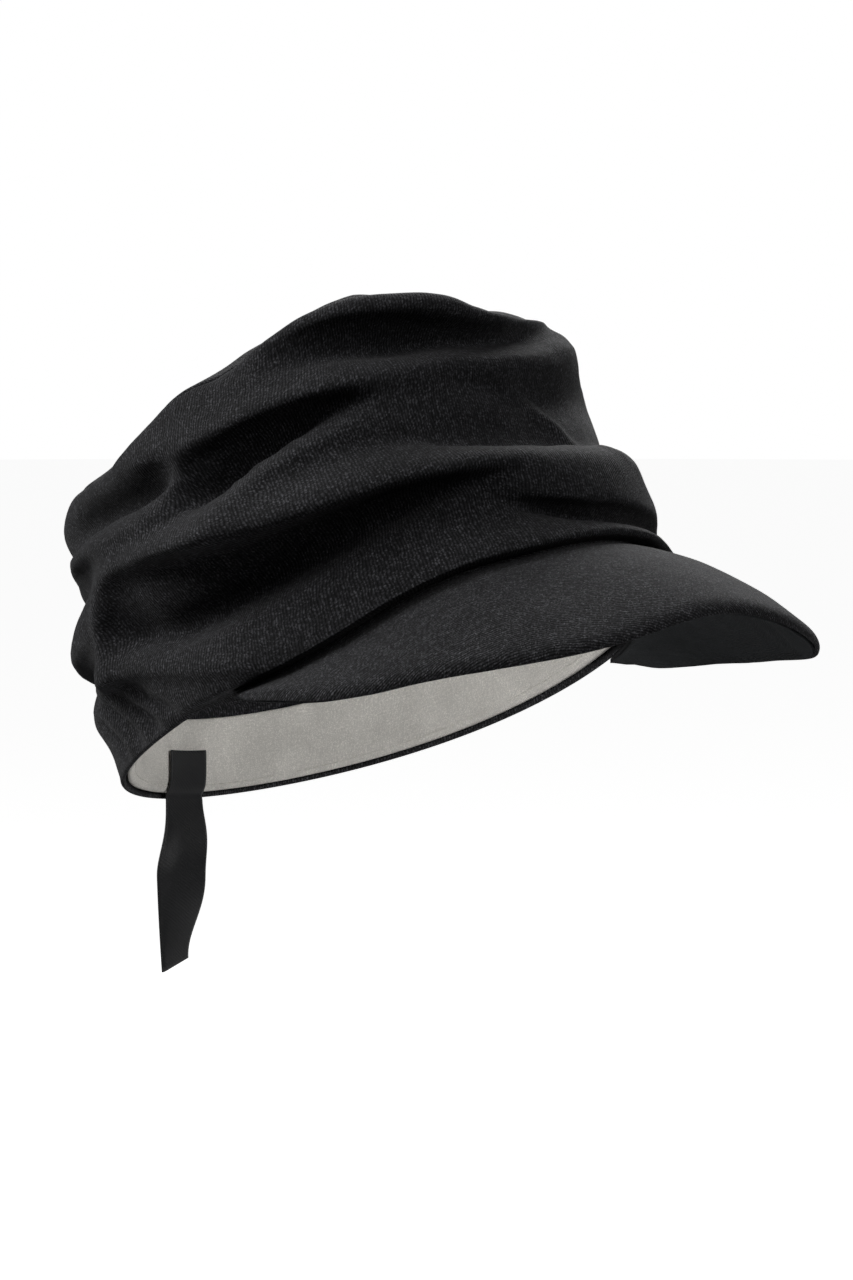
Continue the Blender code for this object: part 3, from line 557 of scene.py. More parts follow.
def keep_values(sheet, **values):
    """Store named values on a bmesh's points, so that they stay with them while doubles are merged."""
    for name, numbers in values.items():
        layer = sheet.verts.layers.float.new(name)
        for vert, number in zip(sheet.verts, numbers):
            vert[layer] = number


def cloth_mesh(sheet, name, around=None, middle=(0, 0.01, 0.03)):
    """Make a mesh of a bmesh that holds u and v, with its faces out and the flat cloth in its UV map.

    around is the flat width of a cloth that closes on itself. Its faces turn away from middle."""
    bmesh.ops.remove_doubles(sheet, verts=sheet.verts, dist=0.00001)
    bmesh.ops.delete(sheet, geom=[edge for edge in sheet.edges if edge.is_wire], context="EDGES")
    if all(len(edge.link_faces) == 2 for edge in sheet.edges):
        bmesh.ops.recalc_face_normals(sheet, faces=sheet.faces)
    centre = Vector(middle)
    facing = [face.normal.dot(face.calc_center_median() - centre) for face in sheet.faces]
    if sum(way * face.calc_area() for way, face in zip(facing, sheet.faces)) < 0:
        bmesh.ops.reverse_faces(sheet, faces=sheet.faces)
    mesh = bpy.data.meshes.new(name)
    sheet.to_mesh(mesh)
    sheet.free()
    mesh.shade_smooth()
    flat = np.zeros((2, len(mesh.vertices)), np.float32)
    mesh.attributes["u"].data.foreach_get("value", flat[0])
    mesh.attributes["v"].data.foreach_get("value", flat[1])
    corner = np.zeros(len(mesh.loops), np.int32)
    mesh.loops.foreach_get("vertex_index", corner)
    sizes = np.zeros(len(mesh.polygons), np.int32)
    mesh.polygons.foreach_get("loop_total", sizes)
    face = np.repeat(np.arange(len(sizes)), sizes)
    across = flat[0][corner]
    if around:
        highest = np.zeros(len(sizes))
        np.maximum.at(highest, face, across)
        across = across + around * (highest[face] - across > around / 2)
    laid = np.column_stack([across, flat[1][corner]])
    mesh.uv_layers.new(name="cloth").data.foreach_set("uv", laid.ravel())
    mesh.attributes.remove(mesh.attributes["u"])
    mesh.attributes.remove(mesh.attributes["v"])
    return mesh


def sewn_piece(mesh, name, material, thickness=None):
    """Make the object of a piece, with the cloth's thickness added under its face where that is given."""
    piece = bpy.data.objects.new(name, mesh)
    bpy.context.scene.collection.objects.link(piece)
    mesh.materials.append(material)
    if thickness:
        wall = piece.modifiers.new("thickness", "SOLIDIFY")
        wall.thickness = thickness
        wall.offset = -1
    return piece


# Washed black slub linen: a plain weave of uneven yarn, dyed black and worn to charcoal. The eye gets
# close upright thread lines, short light and dark runs of yarn, stray grey fibres and no gloss.
THREAD = 0.95                  # thread spacing in mm, drawn about twice as coarse so that it shows
SLUB = 5.0                     # length of a thick or a thin stretch of yarn, in mm
THREAD_SWAY = 1.8              # how far the threads wander to either side, in mm
BLACK_LINEN = "#252527"
GREY_FIBRE = "#6A6A6B"


def linear(code, alpha=1.0):
    """An sRGB hex colour as the linear values that a shader takes."""
    parts = [int(code[start:start + 2], 16) / 255 for start in (1, 3, 5)]
    even = [part / 12.92 if part <= 0.04045 else ((part + 0.055) / 1.055) ** 2.4 for part in parts]
    return (*even, alpha)


def add(tree, kind, inputs=None, **settings):
    """Add a node with its settings; an input takes a value, or a link from another node's socket."""
    made = tree.nodes.new("ShaderNode" + kind)
    for name, value in settings.items():
        setattr(made, name, value)
    for name, value in (inputs or {}).items():
        if isinstance(value, bpy.types.NodeSocket):
            tree.links.new(value, made.inputs[name])
        else:
            made.inputs[name].default_value = value
    return made


def new_material(name):
    """A new material, its node tree and its shader."""
    material = bpy.data.materials.new(name)
    material.use_nodes = True
    return material, material.node_tree, material.node_tree.nodes["Principled BSDF"]


def linen(name, yarn, fibre, turn=0.0, thread=THREAD, contrast=1.0, depth=0.3 * MM):
    """A matt woven cloth of slubby yarn, drawn on its own flat pattern and turned by an angle."""
    material, tree, shader = new_material(name)
    laid = add(tree, "UVMap", uv_map="cloth")
    turned = {"Vector": laid.outputs[0], "Rotation": (0, 0, turn), "Scale": (1 / MM,) * 3}
    flat = add(tree, "Mapping", turned)
    runs = []
    for along, across in ((SLUB, thread), (thread, SLUB)):
        run = add(tree, "Mapping", {"Vector": flat.outputs[0], "Scale": (1 / across, 1 / along, 1)})
        uneven = {"Vector": run.outputs[0], "Scale": 1.0, "Detail": 2.0, "Roughness": 0.7}
        runs.append(add(tree, "TexNoise", uneven))
    yarns = add(tree, "Math", {0: runs[0].outputs[0], 1: runs[1].outputs[0]}, operation="ADD")
    thick = add(tree, "Math", {0: yarns.outputs[0], 1: 1.6 * contrast}, operation="POWER")
    sway = add(tree, "TexNoise", {"Vector": flat.outputs[0], "Scale": 0.15, "Detail": 1.0})
    reach = (THREAD_SWAY, THREAD_SWAY, 0)
    swayed = add(tree, "VectorMath", {0: sway.outputs["Color"], 1: reach, 2: flat.outputs[0]},
                 operation="MULTIPLY_ADD")
    place = add(tree, "SeparateXYZ", {0: swayed.outputs[0]})
    phase = add(tree, "Math", {0: place.outputs[0], 1: math.pi / thread}, operation="MULTIPLY")
    wave = add(tree, "Math", {0: phase.outputs[0]}, operation="SINE")
    warp = add(tree, "Math", {0: wave.outputs[0]}, operation="ABSOLUTE")
    lines = add(tree, "MapRange", {0: warp.outputs[0], 3: 1 - 0.8 * contrast, 4: 1 + 0.45 * contrast})
    crossing = (0.5 * thread, 0.5 * thread, 1)
    crossed = add(tree, "VectorMath", {0: swayed.outputs[0], 1: crossing}, operation="SNAP")
    chance = add(tree, "TexWhiteNoise", {"Vector": crossed.outputs[0]}, noise_dimensions="2D")
    rare = add(tree, "Math", {0: chance.outputs["Value"], 1: 4.0}, operation="POWER")
    cells = add(tree, "MapRange", {0: rare.outputs[0], 3: 1 - 0.4 * contrast, 4: 1 + 2.2 * contrast})
    clouds = add(tree, "TexNoise", {"Vector": flat.outputs[0], "Scale": 0.045, "Detail": 3.0})
    wash = add(tree, "MapRange", {0: clouds.outputs[0], 1: 0.3, 2: 0.7, 3: 0.88, 4: 1.12})
    tone = add(tree, "Math", {0: thick.outputs[0], 1: lines.outputs[0]}, operation="MULTIPLY")
    tone = add(tree, "Math", {0: tone.outputs[0], 1: cells.outputs[0]}, operation="MULTIPLY")
    tone = add(tree, "Math", {0: tone.outputs[0], 1: wash.outputs[0]}, operation="MULTIPLY")
    cloth = add(tree, "Mix", {0: 1.0, 6: linear(yarn), 7: tone.outputs[0]},
                data_type="RGBA", blend_type="MULTIPLY")
    specks = add(tree, "TexNoise", {"Vector": flat.outputs[0], "Scale": 2.2, "Detail": 1.0})
    stray = add(tree, "MapRange", {0: specks.outputs[0], 1: 0.66, 2: 0.76, 3: 0.0, 4: 0.6 * contrast})
    finish = add(tree, "Mix", {0: stray.outputs[0], 6: cloth.outputs[2], 7: linear(fibre)},
                 data_type="RGBA")
    height = add(tree, "Math", {0: warp.outputs[0], 1: 0.6, 2: yarns.outputs[0]}, operation="MULTIPLY_ADD")
    relief = add(tree, "Math", {0: rare.outputs[0], 1: 0.3, 2: height.outputs[0]}, operation="MULTIPLY_ADD")
    bump = add(tree, "Bump", {"Height": relief.outputs[0], "Strength": 0.8, "Distance": depth})
    tree.links.new(finish.outputs[2], shader.inputs["Base Color"])
    tree.links.new(bump.outputs[0], shader.inputs["Normal"])
    shader.inputs["Roughness"].default_value = 0.92
    shader.inputs["IOR"].default_value = 1.45
    shader.inputs["Specular IOR Level"].default_value = 0.2
    shader.inputs["Sheen Weight"].default_value = 0.05
    shader.inputs["Sheen Roughness"].default_value = 0.5
    return material


crown_linen = linen("washed_black_slub_linen", BLACK_LINEN, GREY_FIBRE)

hem = hem_rows()
hem_top = hem[-1][0]
lip = [(distance * MM, depth * MM) for distance, depth in SEAM_LIP]
seam_start = 1 - lip[0][0] / SIDE_HEIGHT
wall = np.linspace(hem_top / SIDE_HEIGHT, seam_start, SIDE_ROWS)[1:-1]
side_ups = np.concatenate([[height / SIDE_HEIGHT for height, depth in hem], wall,
                           [1 - distance / SIDE_HEIGHT for distance, depth in lip]])
side_depths = np.concatenate([[depth for height, depth in hem], 0 * wall,
                              [depth for distance, depth in lip]])
sheet, row, column, angle, laid = crown_cloth(side_ups, side_depths)
keep_values(sheet, u=angle / (2 * math.pi) * CLOTH_ROUND, v=laid[row, column])
side_mesh = cloth_mesh(sheet, "crown_side_cloth", CLOTH_ROUND)
crown_side = sewn_piece(side_mesh, "crown_side_cloth", crown_linen, CLOTH)
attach(crown_side, "root")
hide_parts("crown_side")

tip_start = 1 + lip[0][0] / SIDE_HEIGHT
top = tip_start + (2 - tip_start) * np.linspace(0, 1, TIP_ROWS)[1:] ** TIP_SPREAD
tip_ups = np.concatenate([[1 + distance / SIDE_HEIGHT for distance, depth in lip[::-1]], top])
tip_depths = np.concatenate([[depth for distance, depth in lip[::-1]], 0 * top])
sheet, row, column, angle, laid = crown_cloth(tip_ups, tip_depths)
from_middle = laid[-1][column] - laid[row, column]
keep_values(sheet, u=-from_middle * np.sin(angle), v=-from_middle * np.cos(angle))
crown_tip = sewn_piece(cloth_mesh(sheet, "crown_top_cloth"), "crown_top_cloth", crown_linen, CLOTH)
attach(crown_tip, "root")
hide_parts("crown_tip")

# The peak. Two cloths are sewn round a soft stiffening and turned, so the upper one rolls over the edge and
# the under one stops just inside it. It is sewn into the rim's front and arches down over the brow, and its
# under face stays a little rippled. The cloths are cut across the grain of the crown's.
PEAK_LENGTH = 61 * MM
PEAK_SPREAD = math.radians(79)
PEAK_HEADING = math.radians(38)       # how far its corners point out from straight ahead
PEAK_CAMBER = 4 * MM                  # height of its arch, from the rim to its edge
PEAK_CORNER = 0.05                    # width left at its corners, as a share of the full width
PEAK_TOP_THICKNESS = 2.0 * MM
PEAK_UNDER_THICKNESS = 1.5 * MM
PEAK_GAP = 0.3 * MM
PEAK_SHIFT = 0.6                      # its corners sit further out by this share of the hem's thickness
ROOT_RISE = 1.9 * MM                  # its root turns up this much behind the hem
ROOT_REACH = 2.5 * MM
PEAK_COLUMNS = 200
EDGE_REACH = 5 * MM                   # the upper cloth bends down to its edge within this much of it
EDGE_DROP = 0.9 * MM
SHORT_SIDE = 14 * MM                  # where the peak is shorter than this, its edge is drawn smaller
PEAK_RIPPLE = 0.22 * MM               # height of the upper and the under face's ripples
UNDER_RIPPLE = 0.7 * MM
RIPPLE_SIZE = 16 * MM
CROSS_RIPPLE = 14 * MM                # size of the ripples that run across those, drawn out sideways
CROSS_STRETCH = 2.5
ROOT_CALM = 12 * MM                   # the ripples fade out this near to its root and to its edge
EDGE_CALM = 6 * MM
EDGE_SWAY = 0.35 * MM                 # its edge rises and falls by this much over this length
EDGE_SWAY_LENGTH = 24 * MM
PEAK_GRAIN = math.radians(-48)        # the threads' turn from straight ahead
PEAK_SECTIONS = (
    # side, length, slope
    (0.00, 1.00, 14.0),
    (0.33, 1.07, 15.8),
    (0.66, 0.90, 18.0),
    (1.00, 0.72, 18.0),
)
SIDE, LENGTH, SLOPE = range(3)
# How far the soft peak's edge has been bent up from an even arch.
PEAK_BENDS = (
    # side, rise of the edge in mm
    (-1.00, 0.8), (-0.88, 2.2), (-0.70, -1.0), (-0.50, -3.8), (-0.35, -4.0), (-0.15, -2.2), (0.05, 0.3),
    (0.25, -1.5), (0.38, -1.2), (0.50, 0.6), (0.62, 1.8), (0.78, 3.2), (0.92, 4.5), (1.00, 2.4),
)
THIN_CORNER = 0.32                    # the peak's thickness at its corners, as a share
THIN_REACH = 26 * MM                  # it is thinner where it is shorter than this
# Round the edge of each cloth, in mm: distance in from the peak's edge, and depth under its upper face.
UPPER_EDGE = (
    # in, depth
    (5.0, 0.00), (4.0, 0.00), (3.1, 0.02), (2.3, 0.08), (1.6, 0.22), (1.0, 0.45), (0.5, 0.80), (0.2, 1.20),
    (0.0, 1.65), (0.05, 2.00), (0.35, 2.20), (0.9, 2.22), (2.5, 2.05),
)
UNDER_EDGE = (
    # in, depth
    (4.0, 2.32), (2.2, 2.36), (1.6, 2.50), (1.3, 2.80), (1.2, 3.15), (1.35, 3.50), (1.75, 3.74),
    (2.6, 3.80), (4.0, 3.80),
)


def peak_length(side):
    """The peak's length from the rim to its edge; side runs from -1 to 1."""
    even = [(row[SIDE] ** 2, *row[1:]) for row in PEAK_SECTIONS]
    corner = np.sqrt(1 - (1 - PEAK_CORNER ** 2) * np.clip(side ** 2, 0, 1))
    return corner, corner * (HEM_THICKNESS + PEAK_LENGTH * through_rows(even, LENGTH, side ** 2))


def peak(side, share):
    """A point of the peak's upper face; share runs from the rim to its edge."""
    side, share = np.broadcast_arrays(np.asarray(side, float), np.asarray(share, float))
    rim, out = rim_frame(side * PEAK_SPREAD)
    inward = HEM_THICKNESS * (1 - PEAK_SHIFT * side ** 8) + PEAK_GAP
    root = rim - inward[..., None] * out - np.array([0, 0, PEAK_GAP])
    even = [(row[SIDE] ** 2, *row[1:]) for row in PEAK_SECTIONS]
    corner, length = peak_length(side)
    slope = np.radians(through_rows(even, SLOPE, side ** 2))
    heading = PEAK_HEADING * side
    level = np.stack([-np.sin(heading), -np.cos(heading), 0 * heading], axis=-1)
    down = level * np.cos(slope)[..., None] - np.array([0, 0, 1]) * np.sin(slope)[..., None]
    rise = level * np.sin(slope)[..., None] + np.array([0, 0, 1]) * np.cos(slope)[..., None]
    arch = PEAK_CAMBER * corner * 4 * share * (1 - share)
    bend = MM * through_rows(PEAK_BENDS, 1, side) * share ** 2
    bend += ROOT_RISE * np.clip(1 - share * length / ROOT_REACH, 0, 1) ** 2 * (1 - side ** 8)
    bent = root + (share * length)[..., None] * down + arch[..., None] * rise
    return bent + bend[..., None] * np.array([0, 0, 1])


def peak_normal(side, share, step=0.01):
    """Unit normal of the peak's upper face, facing up."""
    side = np.clip(side, -1 + 3 * step, 1 - 3 * step)
    across = peak(side + step, share) - peak(side - step, share)
    along = peak(side, share + step) - peak(side, share - step)
    up = np.cross(along, across)
    up = up / np.linalg.norm(up, axis=-1, keepdims=True)
    upright = (side ** 4)[..., None]
    up = up * np.sign(up[..., 2:3]) * (1 - upright) + upright * np.array([0, 0, 1])
    return up / np.linalg.norm(up, axis=-1, keepdims=True)


def peak_cloth(name, face_depth, edge, back_depth, ripple, seed):
    """One closed cloth of the peak: out along its upper face, round its edge and back under it."""
    out_rows, back_rows = 26, 20
    sheet = spun_sheet(out_rows + len(edge) + back_rows, PEAK_COLUMNS, math.pi, closed=True)
    row, column, turn = grid_places(sheet, PEAK_COLUMNS, math.pi)
    side = turn / (math.pi / 2) - 1
    length = peak_length(side)[1]
    size = np.minimum(1, length / SHORT_SIDE)
    first, last = (1 - size * edge[end][0] * MM / length for end in (0, -1))
    on_edge = np.clip(row - out_rows, 0, len(edge) - 1)
    inward, depth = np.array(edge)[on_edge].T * MM
    share = 1 - size * inward / length
    share = np.where(row < out_rows, first * row / out_rows, share)
    going_back = (row - out_rows - len(edge) + 1) / back_rows
    share = np.where(going_back > 0, last * (1 - going_back), share)
    depth = np.where(row < out_rows, face_depth, np.where(going_back > 0, back_depth, depth * size))
    depth = depth * (THIN_CORNER + (1 - THIN_CORNER) * smooth(length / THIN_REACH))
    drop = EDGE_DROP * size * (1 - np.clip((1 - share) * length / EDGE_REACH, 0, 1)) ** 2
    face = peak(side, share)
    free = smooth(share * length / ROOT_CALM) * smooth((1 - share) * length / EDGE_CALM)
    crossing = lump(face * np.array([1, CROSS_STRETCH, 1]), CROSS_RIPPLE, seed + 3)
    wave = ripple * (lump(face, RIPPLE_SIZE, seed) + 0.6 * crossing) * free
    sway = EDGE_SWAY * lump(face * np.array([1, 1, 0]), EDGE_SWAY_LENGTH, seed=2.2) * smooth(share)
    spots = face + (wave + sway - depth - drop)[:, None] * peak_normal(side, share)
    laid = way_along(spots, row, column)[row, column]
    root, heading = peak(side, 0 * side), PEAK_HEADING * side
    place_points(sheet, spots)
    keep_values(sheet, u=root[:, 0] - laid * np.sin(heading), v=root[:, 1] - laid * np.cos(heading))
    return cloth_mesh(sheet, name)


peak_linen = linen("black_linen_over_soft_stiffening", "#2B2B2D", "#6E6E70", turn=PEAK_GRAIN, thread=0.8)
upper = peak_cloth("peak_upper_cloth", 0, UPPER_EDGE, PEAK_TOP_THICKNESS, PEAK_RIPPLE, seed=3.7)
peak_upper = sewn_piece(upper, "peak_upper_cloth", peak_linen)
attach(peak_upper, "root")
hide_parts("visor_top")

under_top = PEAK_TOP_THICKNESS + PEAK_GAP
under_back = under_top + PEAK_UNDER_THICKNESS
under = peak_cloth("peak_under_cloth", under_top, UNDER_EDGE, under_back, UNDER_RIPPLE, seed=8.9)
# Painted light: the under face is the crown's black linen, but its grey is drawn lighter and bluer than the
# crown's. This stands in for light bounced up under the peak and the cool tint of its shade.
under_linen_painted_bounce = linen("black_linen_under_the_peak_painted_bounce", "#2D2F31", "#56585A", turn=0.3, thread=0.6, contrast=0.15)
peak_under = sewn_piece(under, "peak_under_cloth", under_linen_painted_bounce)
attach(peak_under, "root")
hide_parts("visor_under")

# The sweatband. A strip of pale, warm grey cotton is sewn to the turned-up hem all round, 2 mm above the
# rim, and leans in to the head above it. Easing it round the curve leaves small puckers.
BAND_HEIGHT = 24 * MM
BAND_THICKNESS = 1.0 * MM
BAND_INSET = 2.0 * MM                 # how far the black cloth turns up under the band
BAND_LEAN = 8.5 * MM                  # the band's upper edge leans in to the head by this much
BAND_BOW = 0.5                        # below 1, the band leans in more near the rim than above
BAND_PUCKER = 8 * MM
BAND_PUCKER_HEIGHT = 0.5 * MM
BAND_ROUND = 0.03                     # share of its height over which each edge is rounded
PUCKER_MIDDLE = 0.7                   # the puckered face stands in by this share of their height
EDGE_PUCKER = 0.4                     # share of their height left along the band's edges


def band_face(angle, share, depth):
    """A point of the sweatband, depth inside its outer face; it leans in, clear of the folds."""
    out = rim_frame(angle)[1]
    rise = BAND_INSET + BAND_HEIGHT * share
    inset = HEM_THICKNESS + PEAK_GAP + BAND_LEAN * np.clip(share, 0, 1) ** BAND_BOW + depth
    return plain_crown(angle, rise / side_height(angle)) - inset[..., None] * out


def band_section():
    """The band's outline from its lower edge up its outer face and down its inner one: share and depth."""
    radius = BAND_THICKNESS / 2
    up = [(share, 0) for share in np.linspace(BAND_ROUND, 1 - BAND_ROUND, 14)]
    bends = np.radians((45, 90, 135))
    over = [(1 - BAND_ROUND * (1 - math.sin(bend)), radius * (1 - math.cos(bend))) for bend in bends]
    down = [(share, BAND_THICKNESS) for share, depth in up[::-1]]
    under = [(BAND_ROUND * (1 - math.sin(bend)), radius * (1 + math.cos(bend))) for bend in bends]
    return np.array(up + over + down + under)


section = band_section()
sheet = spun_sheet(len(section), COLUMNS, closed=True)
row, column, angle = grid_places(sheet, COLUMNS)
share, depth = section[row].T
fullness = EDGE_PUCKER + (1 - EDGE_PUCKER) * np.sin(math.pi * np.clip(share, 0, 1))
depth = depth + BAND_PUCKER_HEIGHT * (PUCKER_MIDDLE + gathers(BAND_PUCKER, seed=7.5)[column] * fullness)
place_points(sheet, band_face(angle, share, depth))
keep_values(sheet, u=angle / (2 * math.pi) * CLOTH_ROUND, v=share * BAND_HEIGHT)
band_cotton = linen("pale_plain_cotton", "#CBC8C2", "#E0DED9", thread=0.5, contrast=0.16,
                    depth=0.12 * MM)
sweatband = sewn_piece(cloth_mesh(sheet, "cotton_sweatband", CLOTH_ROUND), "cotton_sweatband",
                       band_cotton)
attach(sweatband, "root")
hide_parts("sweatband")

# The band's stitching. One row of lockstitch in pale thread holds the band to the hem, a little above the
# band's lower edge. Each stitch sinks in at both ends.
STITCH_PITCH = 3.2 * MM
STITCH_LENGTH = 2.6 * MM
STITCH_THICKNESS = 0.45 * MM
STITCH_ROW = 0.10                     # height on the band, as a share of its height
STITCH_REACH = 0.01                   # a stitch's direction is taken over this angle to either side
PLY_LENGTH = 0.5 * MM                 # one turn of the thread's plies

row_of_stitches = bmesh.new()
turns = np.linspace(0, 2 * math.pi, 721)
line = band_face(turns, np.full_like(turns, STITCH_ROW), np.full_like(turns, BAND_THICKNESS))
run = np.concatenate([[0], np.cumsum(np.linalg.norm(np.diff(line, axis=0), axis=1))])
count = int(run[-1] / STITCH_PITCH)
for number in range(count):
    turn = float(np.interp((number + 0.5) / count * run[-1], run, turns))
    around = np.array([turn - STITCH_REACH, turn, turn + STITCH_REACH])
    on_face = BAND_THICKNESS + PUCKER_MIDDLE * BAND_PUCKER_HEIGHT
    before, here, after = band_face(around, np.full(3, STITCH_ROW), np.full(3, on_face))
    along = Vector(after - before).normalized()
    inward = -Vector(rim_frame(around[1:2])[1][0])
    upward = along.cross(inward).normalized()
    turned = Matrix((along, upward, inward)).transposed().to_4x4()
    shape = Matrix.Diagonal((STITCH_LENGTH / 2, STITCH_THICKNESS / 2, STITCH_THICKNESS / 2, 1))
    bmesh.ops.create_uvsphere(row_of_stitches, u_segments=8, v_segments=6, radius=1,
                              matrix=Matrix.Translation(Vector(here)) @ turned @ shape)
stitch_mesh = bpy.data.meshes.new("band_stitches")
row_of_stitches.to_mesh(stitch_mesh)
row_of_stitches.free()
stitch_mesh.shade_smooth()


def spun_thread(name, code):
    """Sewing thread: two plies of polyester, twisted and dyed, with a soft gloss along its ridges."""
    material, tree, shader = new_material(name)
    place = add(tree, "TexCoord")
    twisted = {"Vector": place.outputs["Object"], "Scale": 1 / PLY_LENGTH, "Detail": 1.0}
    plies = add(tree, "TexNoise", twisted)
    shade = add(tree, "MapRange", {0: plies.outputs[0], 1: 0.3, 2: 0.7, 3: 0.8, 4: 1.15})
    color = add(tree, "Mix", {0: 1.0, 6: linear(code), 7: shade.outputs[0]},
                data_type="RGBA", blend_type="MULTIPLY")
    tree.links.new(color.outputs[2], shader.inputs["Base Color"])
    shader.inputs["Roughness"].default_value = 0.5
    return material


stitches = sewn_piece(stitch_mesh, "band_stitches", spun_thread("pale_spun_thread", "#C9C6BF"))
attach(stitches, "root")

# The tape. A short end of smooth black twill tape is sewn to the inside of the band at the back and hangs
# out below the rim. It is limp, so it curls a little along its length and turns as it falls.
TAPE_WIDTH = 20 * MM
TAPE_THICKNESS = 0.5 * MM
TAPE_SEAT = 16 * MM                   # how far the tape reaches up inside the band
TAPE_HANG = 54 * MM                   # and how far it hangs below the rim
TAPE_ANGLE = math.radians(168)
TAPE_ROWS = 48
TAPE_COLUMNS = 16
TAPE_LEFT_TURN = math.radians(-30)    # turn of its left part below the rim
TAPE_RIGHT_TURN = (math.radians(-8), math.radians(14))    # of its right part, at the rim and at its end
TAPE_CREASE = (-0.1, -1.0)            # where they meet, from -1 to 1 across it, at the rim and at its end
CREASE_START = 0.1                    # share of the hang above which they meet in one place
CREASE_SHARPNESS = 1.6
TAPE_FREE = 0.45                      # it is clear of the band below this share of its hang
TAPE_STAND = 1.7                      # it lies this many pucker heights inside the band
TAPE_SWING = 5.5 * MM                 # its left edge swings out this much below the rim
TAPE_RETURN = 3 * MM                  # and comes back by this much at its end
TAPE_SLANT = 2 * MM                   # its cut end is this much lower on the left

sheet = spun_sheet(TAPE_ROWS, TAPE_COLUMNS, math.pi)
row, column, turn = grid_places(sheet, TAPE_COLUMNS, math.pi)
across = np.linspace(-1, 1, TAPE_COLUMNS + 1)
spots = np.zeros((TAPE_ROWS, TAPE_COLUMNS + 1, 3))
flat_out = rim_frame(np.array([TAPE_ANGLE]))[1][0]
sideways = np.array([flat_out[1], -flat_out[0], 0])
for number, drop in enumerate(np.linspace(0, 1, TAPE_ROWS)):
    rise = TAPE_SEAT - drop * (TAPE_SEAT + TAPE_HANG)
    angles = TAPE_ANGLE + across * TAPE_WIDTH / OPENING_WIDTH
    seat_share = np.full_like(across, (max(rise, 0) - BAND_INSET) / BAND_HEIGHT)
    inside = BAND_THICKNESS + PEAK_GAP + BAND_PUCKER_HEIGHT * TAPE_STAND
    seated = band_face(angles, seat_share, np.full_like(across, inside))
    fallen = max(-rise, 0) / TAPE_HANG
    moved = smooth((fallen - CREASE_START) / (1 - CREASE_START))
    crease = TAPE_CREASE[0] + (TAPE_CREASE[1] - TAPE_CREASE[0]) * moved
    end_turn = TAPE_RIGHT_TURN[0] + (TAPE_RIGHT_TURN[1] - TAPE_RIGHT_TURN[0]) * smooth((fallen - 0.5) * 2)
    lean = TAPE_LEFT_TURN + (end_turn - TAPE_LEFT_TURN) * smooth((across - crease) * CREASE_SHARPNESS + 0.5)
    ways = np.cos(lean)[:, None] * sideways + np.sin(lean)[:, None] * flat_out
    steps = TAPE_WIDTH / TAPE_COLUMNS * ways
    steps[0] = 0
    below = smooth(fallen / TAPE_FREE)
    left_edge = seated[0] - (TAPE_SWING * below - TAPE_RETURN * fallen ** 2) * sideways
    hanging = left_edge + np.cumsum(steps, axis=0)
    mixed = seated * (1 - below) + hanging * below
    mixed[:, 2] -= max(-rise, 0) + TAPE_SLANT * fallen ** 2 * (1 - across) / 2
    spots[number] = mixed
place_points(sheet, spots[row, column])
keep_values(sheet, u=across[column] * TAPE_WIDTH / 2, v=-row / TAPE_ROWS * (TAPE_SEAT + TAPE_HANG))


def twill_tape(name, code):
    """Cotton twill tape: fine slanted ribs of black yarn, pressed smooth, with a soft low sheen."""
    rib = 0.9                         # spacing of the slanted ribs in mm, drawn coarser so that they show
    slant = math.radians(32)
    material, tree, shader = new_material(name)
    laid = add(tree, "UVMap", uv_map="cloth")
    turned = {"Vector": laid.outputs[0], "Rotation": (0, 0, slant), "Scale": (1 / MM,) * 3}
    flat = add(tree, "Mapping", turned)
    place = add(tree, "SeparateXYZ", {0: flat.outputs[0]})
    phase = add(tree, "Math", {0: place.outputs[1], 1: 2 * math.pi / rib}, operation="MULTIPLY")
    ribs = add(tree, "Math", {0: phase.outputs[0]}, operation="SINE")
    fibres = add(tree, "TexNoise", {"Vector": flat.outputs[0], "Scale": 2.2, "Detail": 2.0})
    height = add(tree, "Math", {0: ribs.outputs[0], 1: 0.4, 2: fibres.outputs[0]}, operation="MULTIPLY_ADD")
    shade = add(tree, "MapRange", {0: height.outputs[0], 1: 0.0, 2: 1.0, 3: 0.8, 4: 1.2})
    color = add(tree, "Mix", {0: 1.0, 6: linear(code), 7: shade.outputs[0]},
                data_type="RGBA", blend_type="MULTIPLY")
    bump = add(tree, "Bump", {"Height": height.outputs[0], "Strength": 0.4, "Distance": 0.1 * MM})
    tree.links.new(color.outputs[2], shader.inputs["Base Color"])
    tree.links.new(bump.outputs[0], shader.inputs["Normal"])
    shader.inputs["Roughness"].default_value = 0.6
    shader.inputs["Sheen Weight"].default_value = 0.1
    return material


well_inside = spots[:, TAPE_COLUMNS // 2].mean(axis=0) - flat_out
tape_mesh = cloth_mesh(sheet, "twill_tape", middle=tuple(well_inside))
tape = sewn_piece(tape_mesh, "twill_tape", twill_tape("black_cotton_twill_tape", "#0E0F12"), TAPE_THICKNESS)
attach(tape, "root")
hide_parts("back_tape")

# The studio: a pale paper floor well below the cap, and a white surround. The strongest soft box stands
# behind the cap and weaker ones at its left, above and in front, so that folds that face the lens stay
# dark. A card below and a small glow inside show the under face and band. The lens is the photograph's.
FLOOR_DEPTH = 0.35
PHOTO_WIDTH, PHOTO_HEIGHT = 853, 1280
LENS_PIXELS = 5120                    # the lens's length in pixels of the photograph
ORIGIN_X, ORIGIN_Y = 394, 666         # where the cap's origin lies in it, in pixels
CAMERA_TURN = math.radians(42)
CAMERA_DIP = math.radians(5)
CAMERA_DISTANCE = 1.60
CAMERA_SENSOR = 36                    # mm, along the picture's longer side

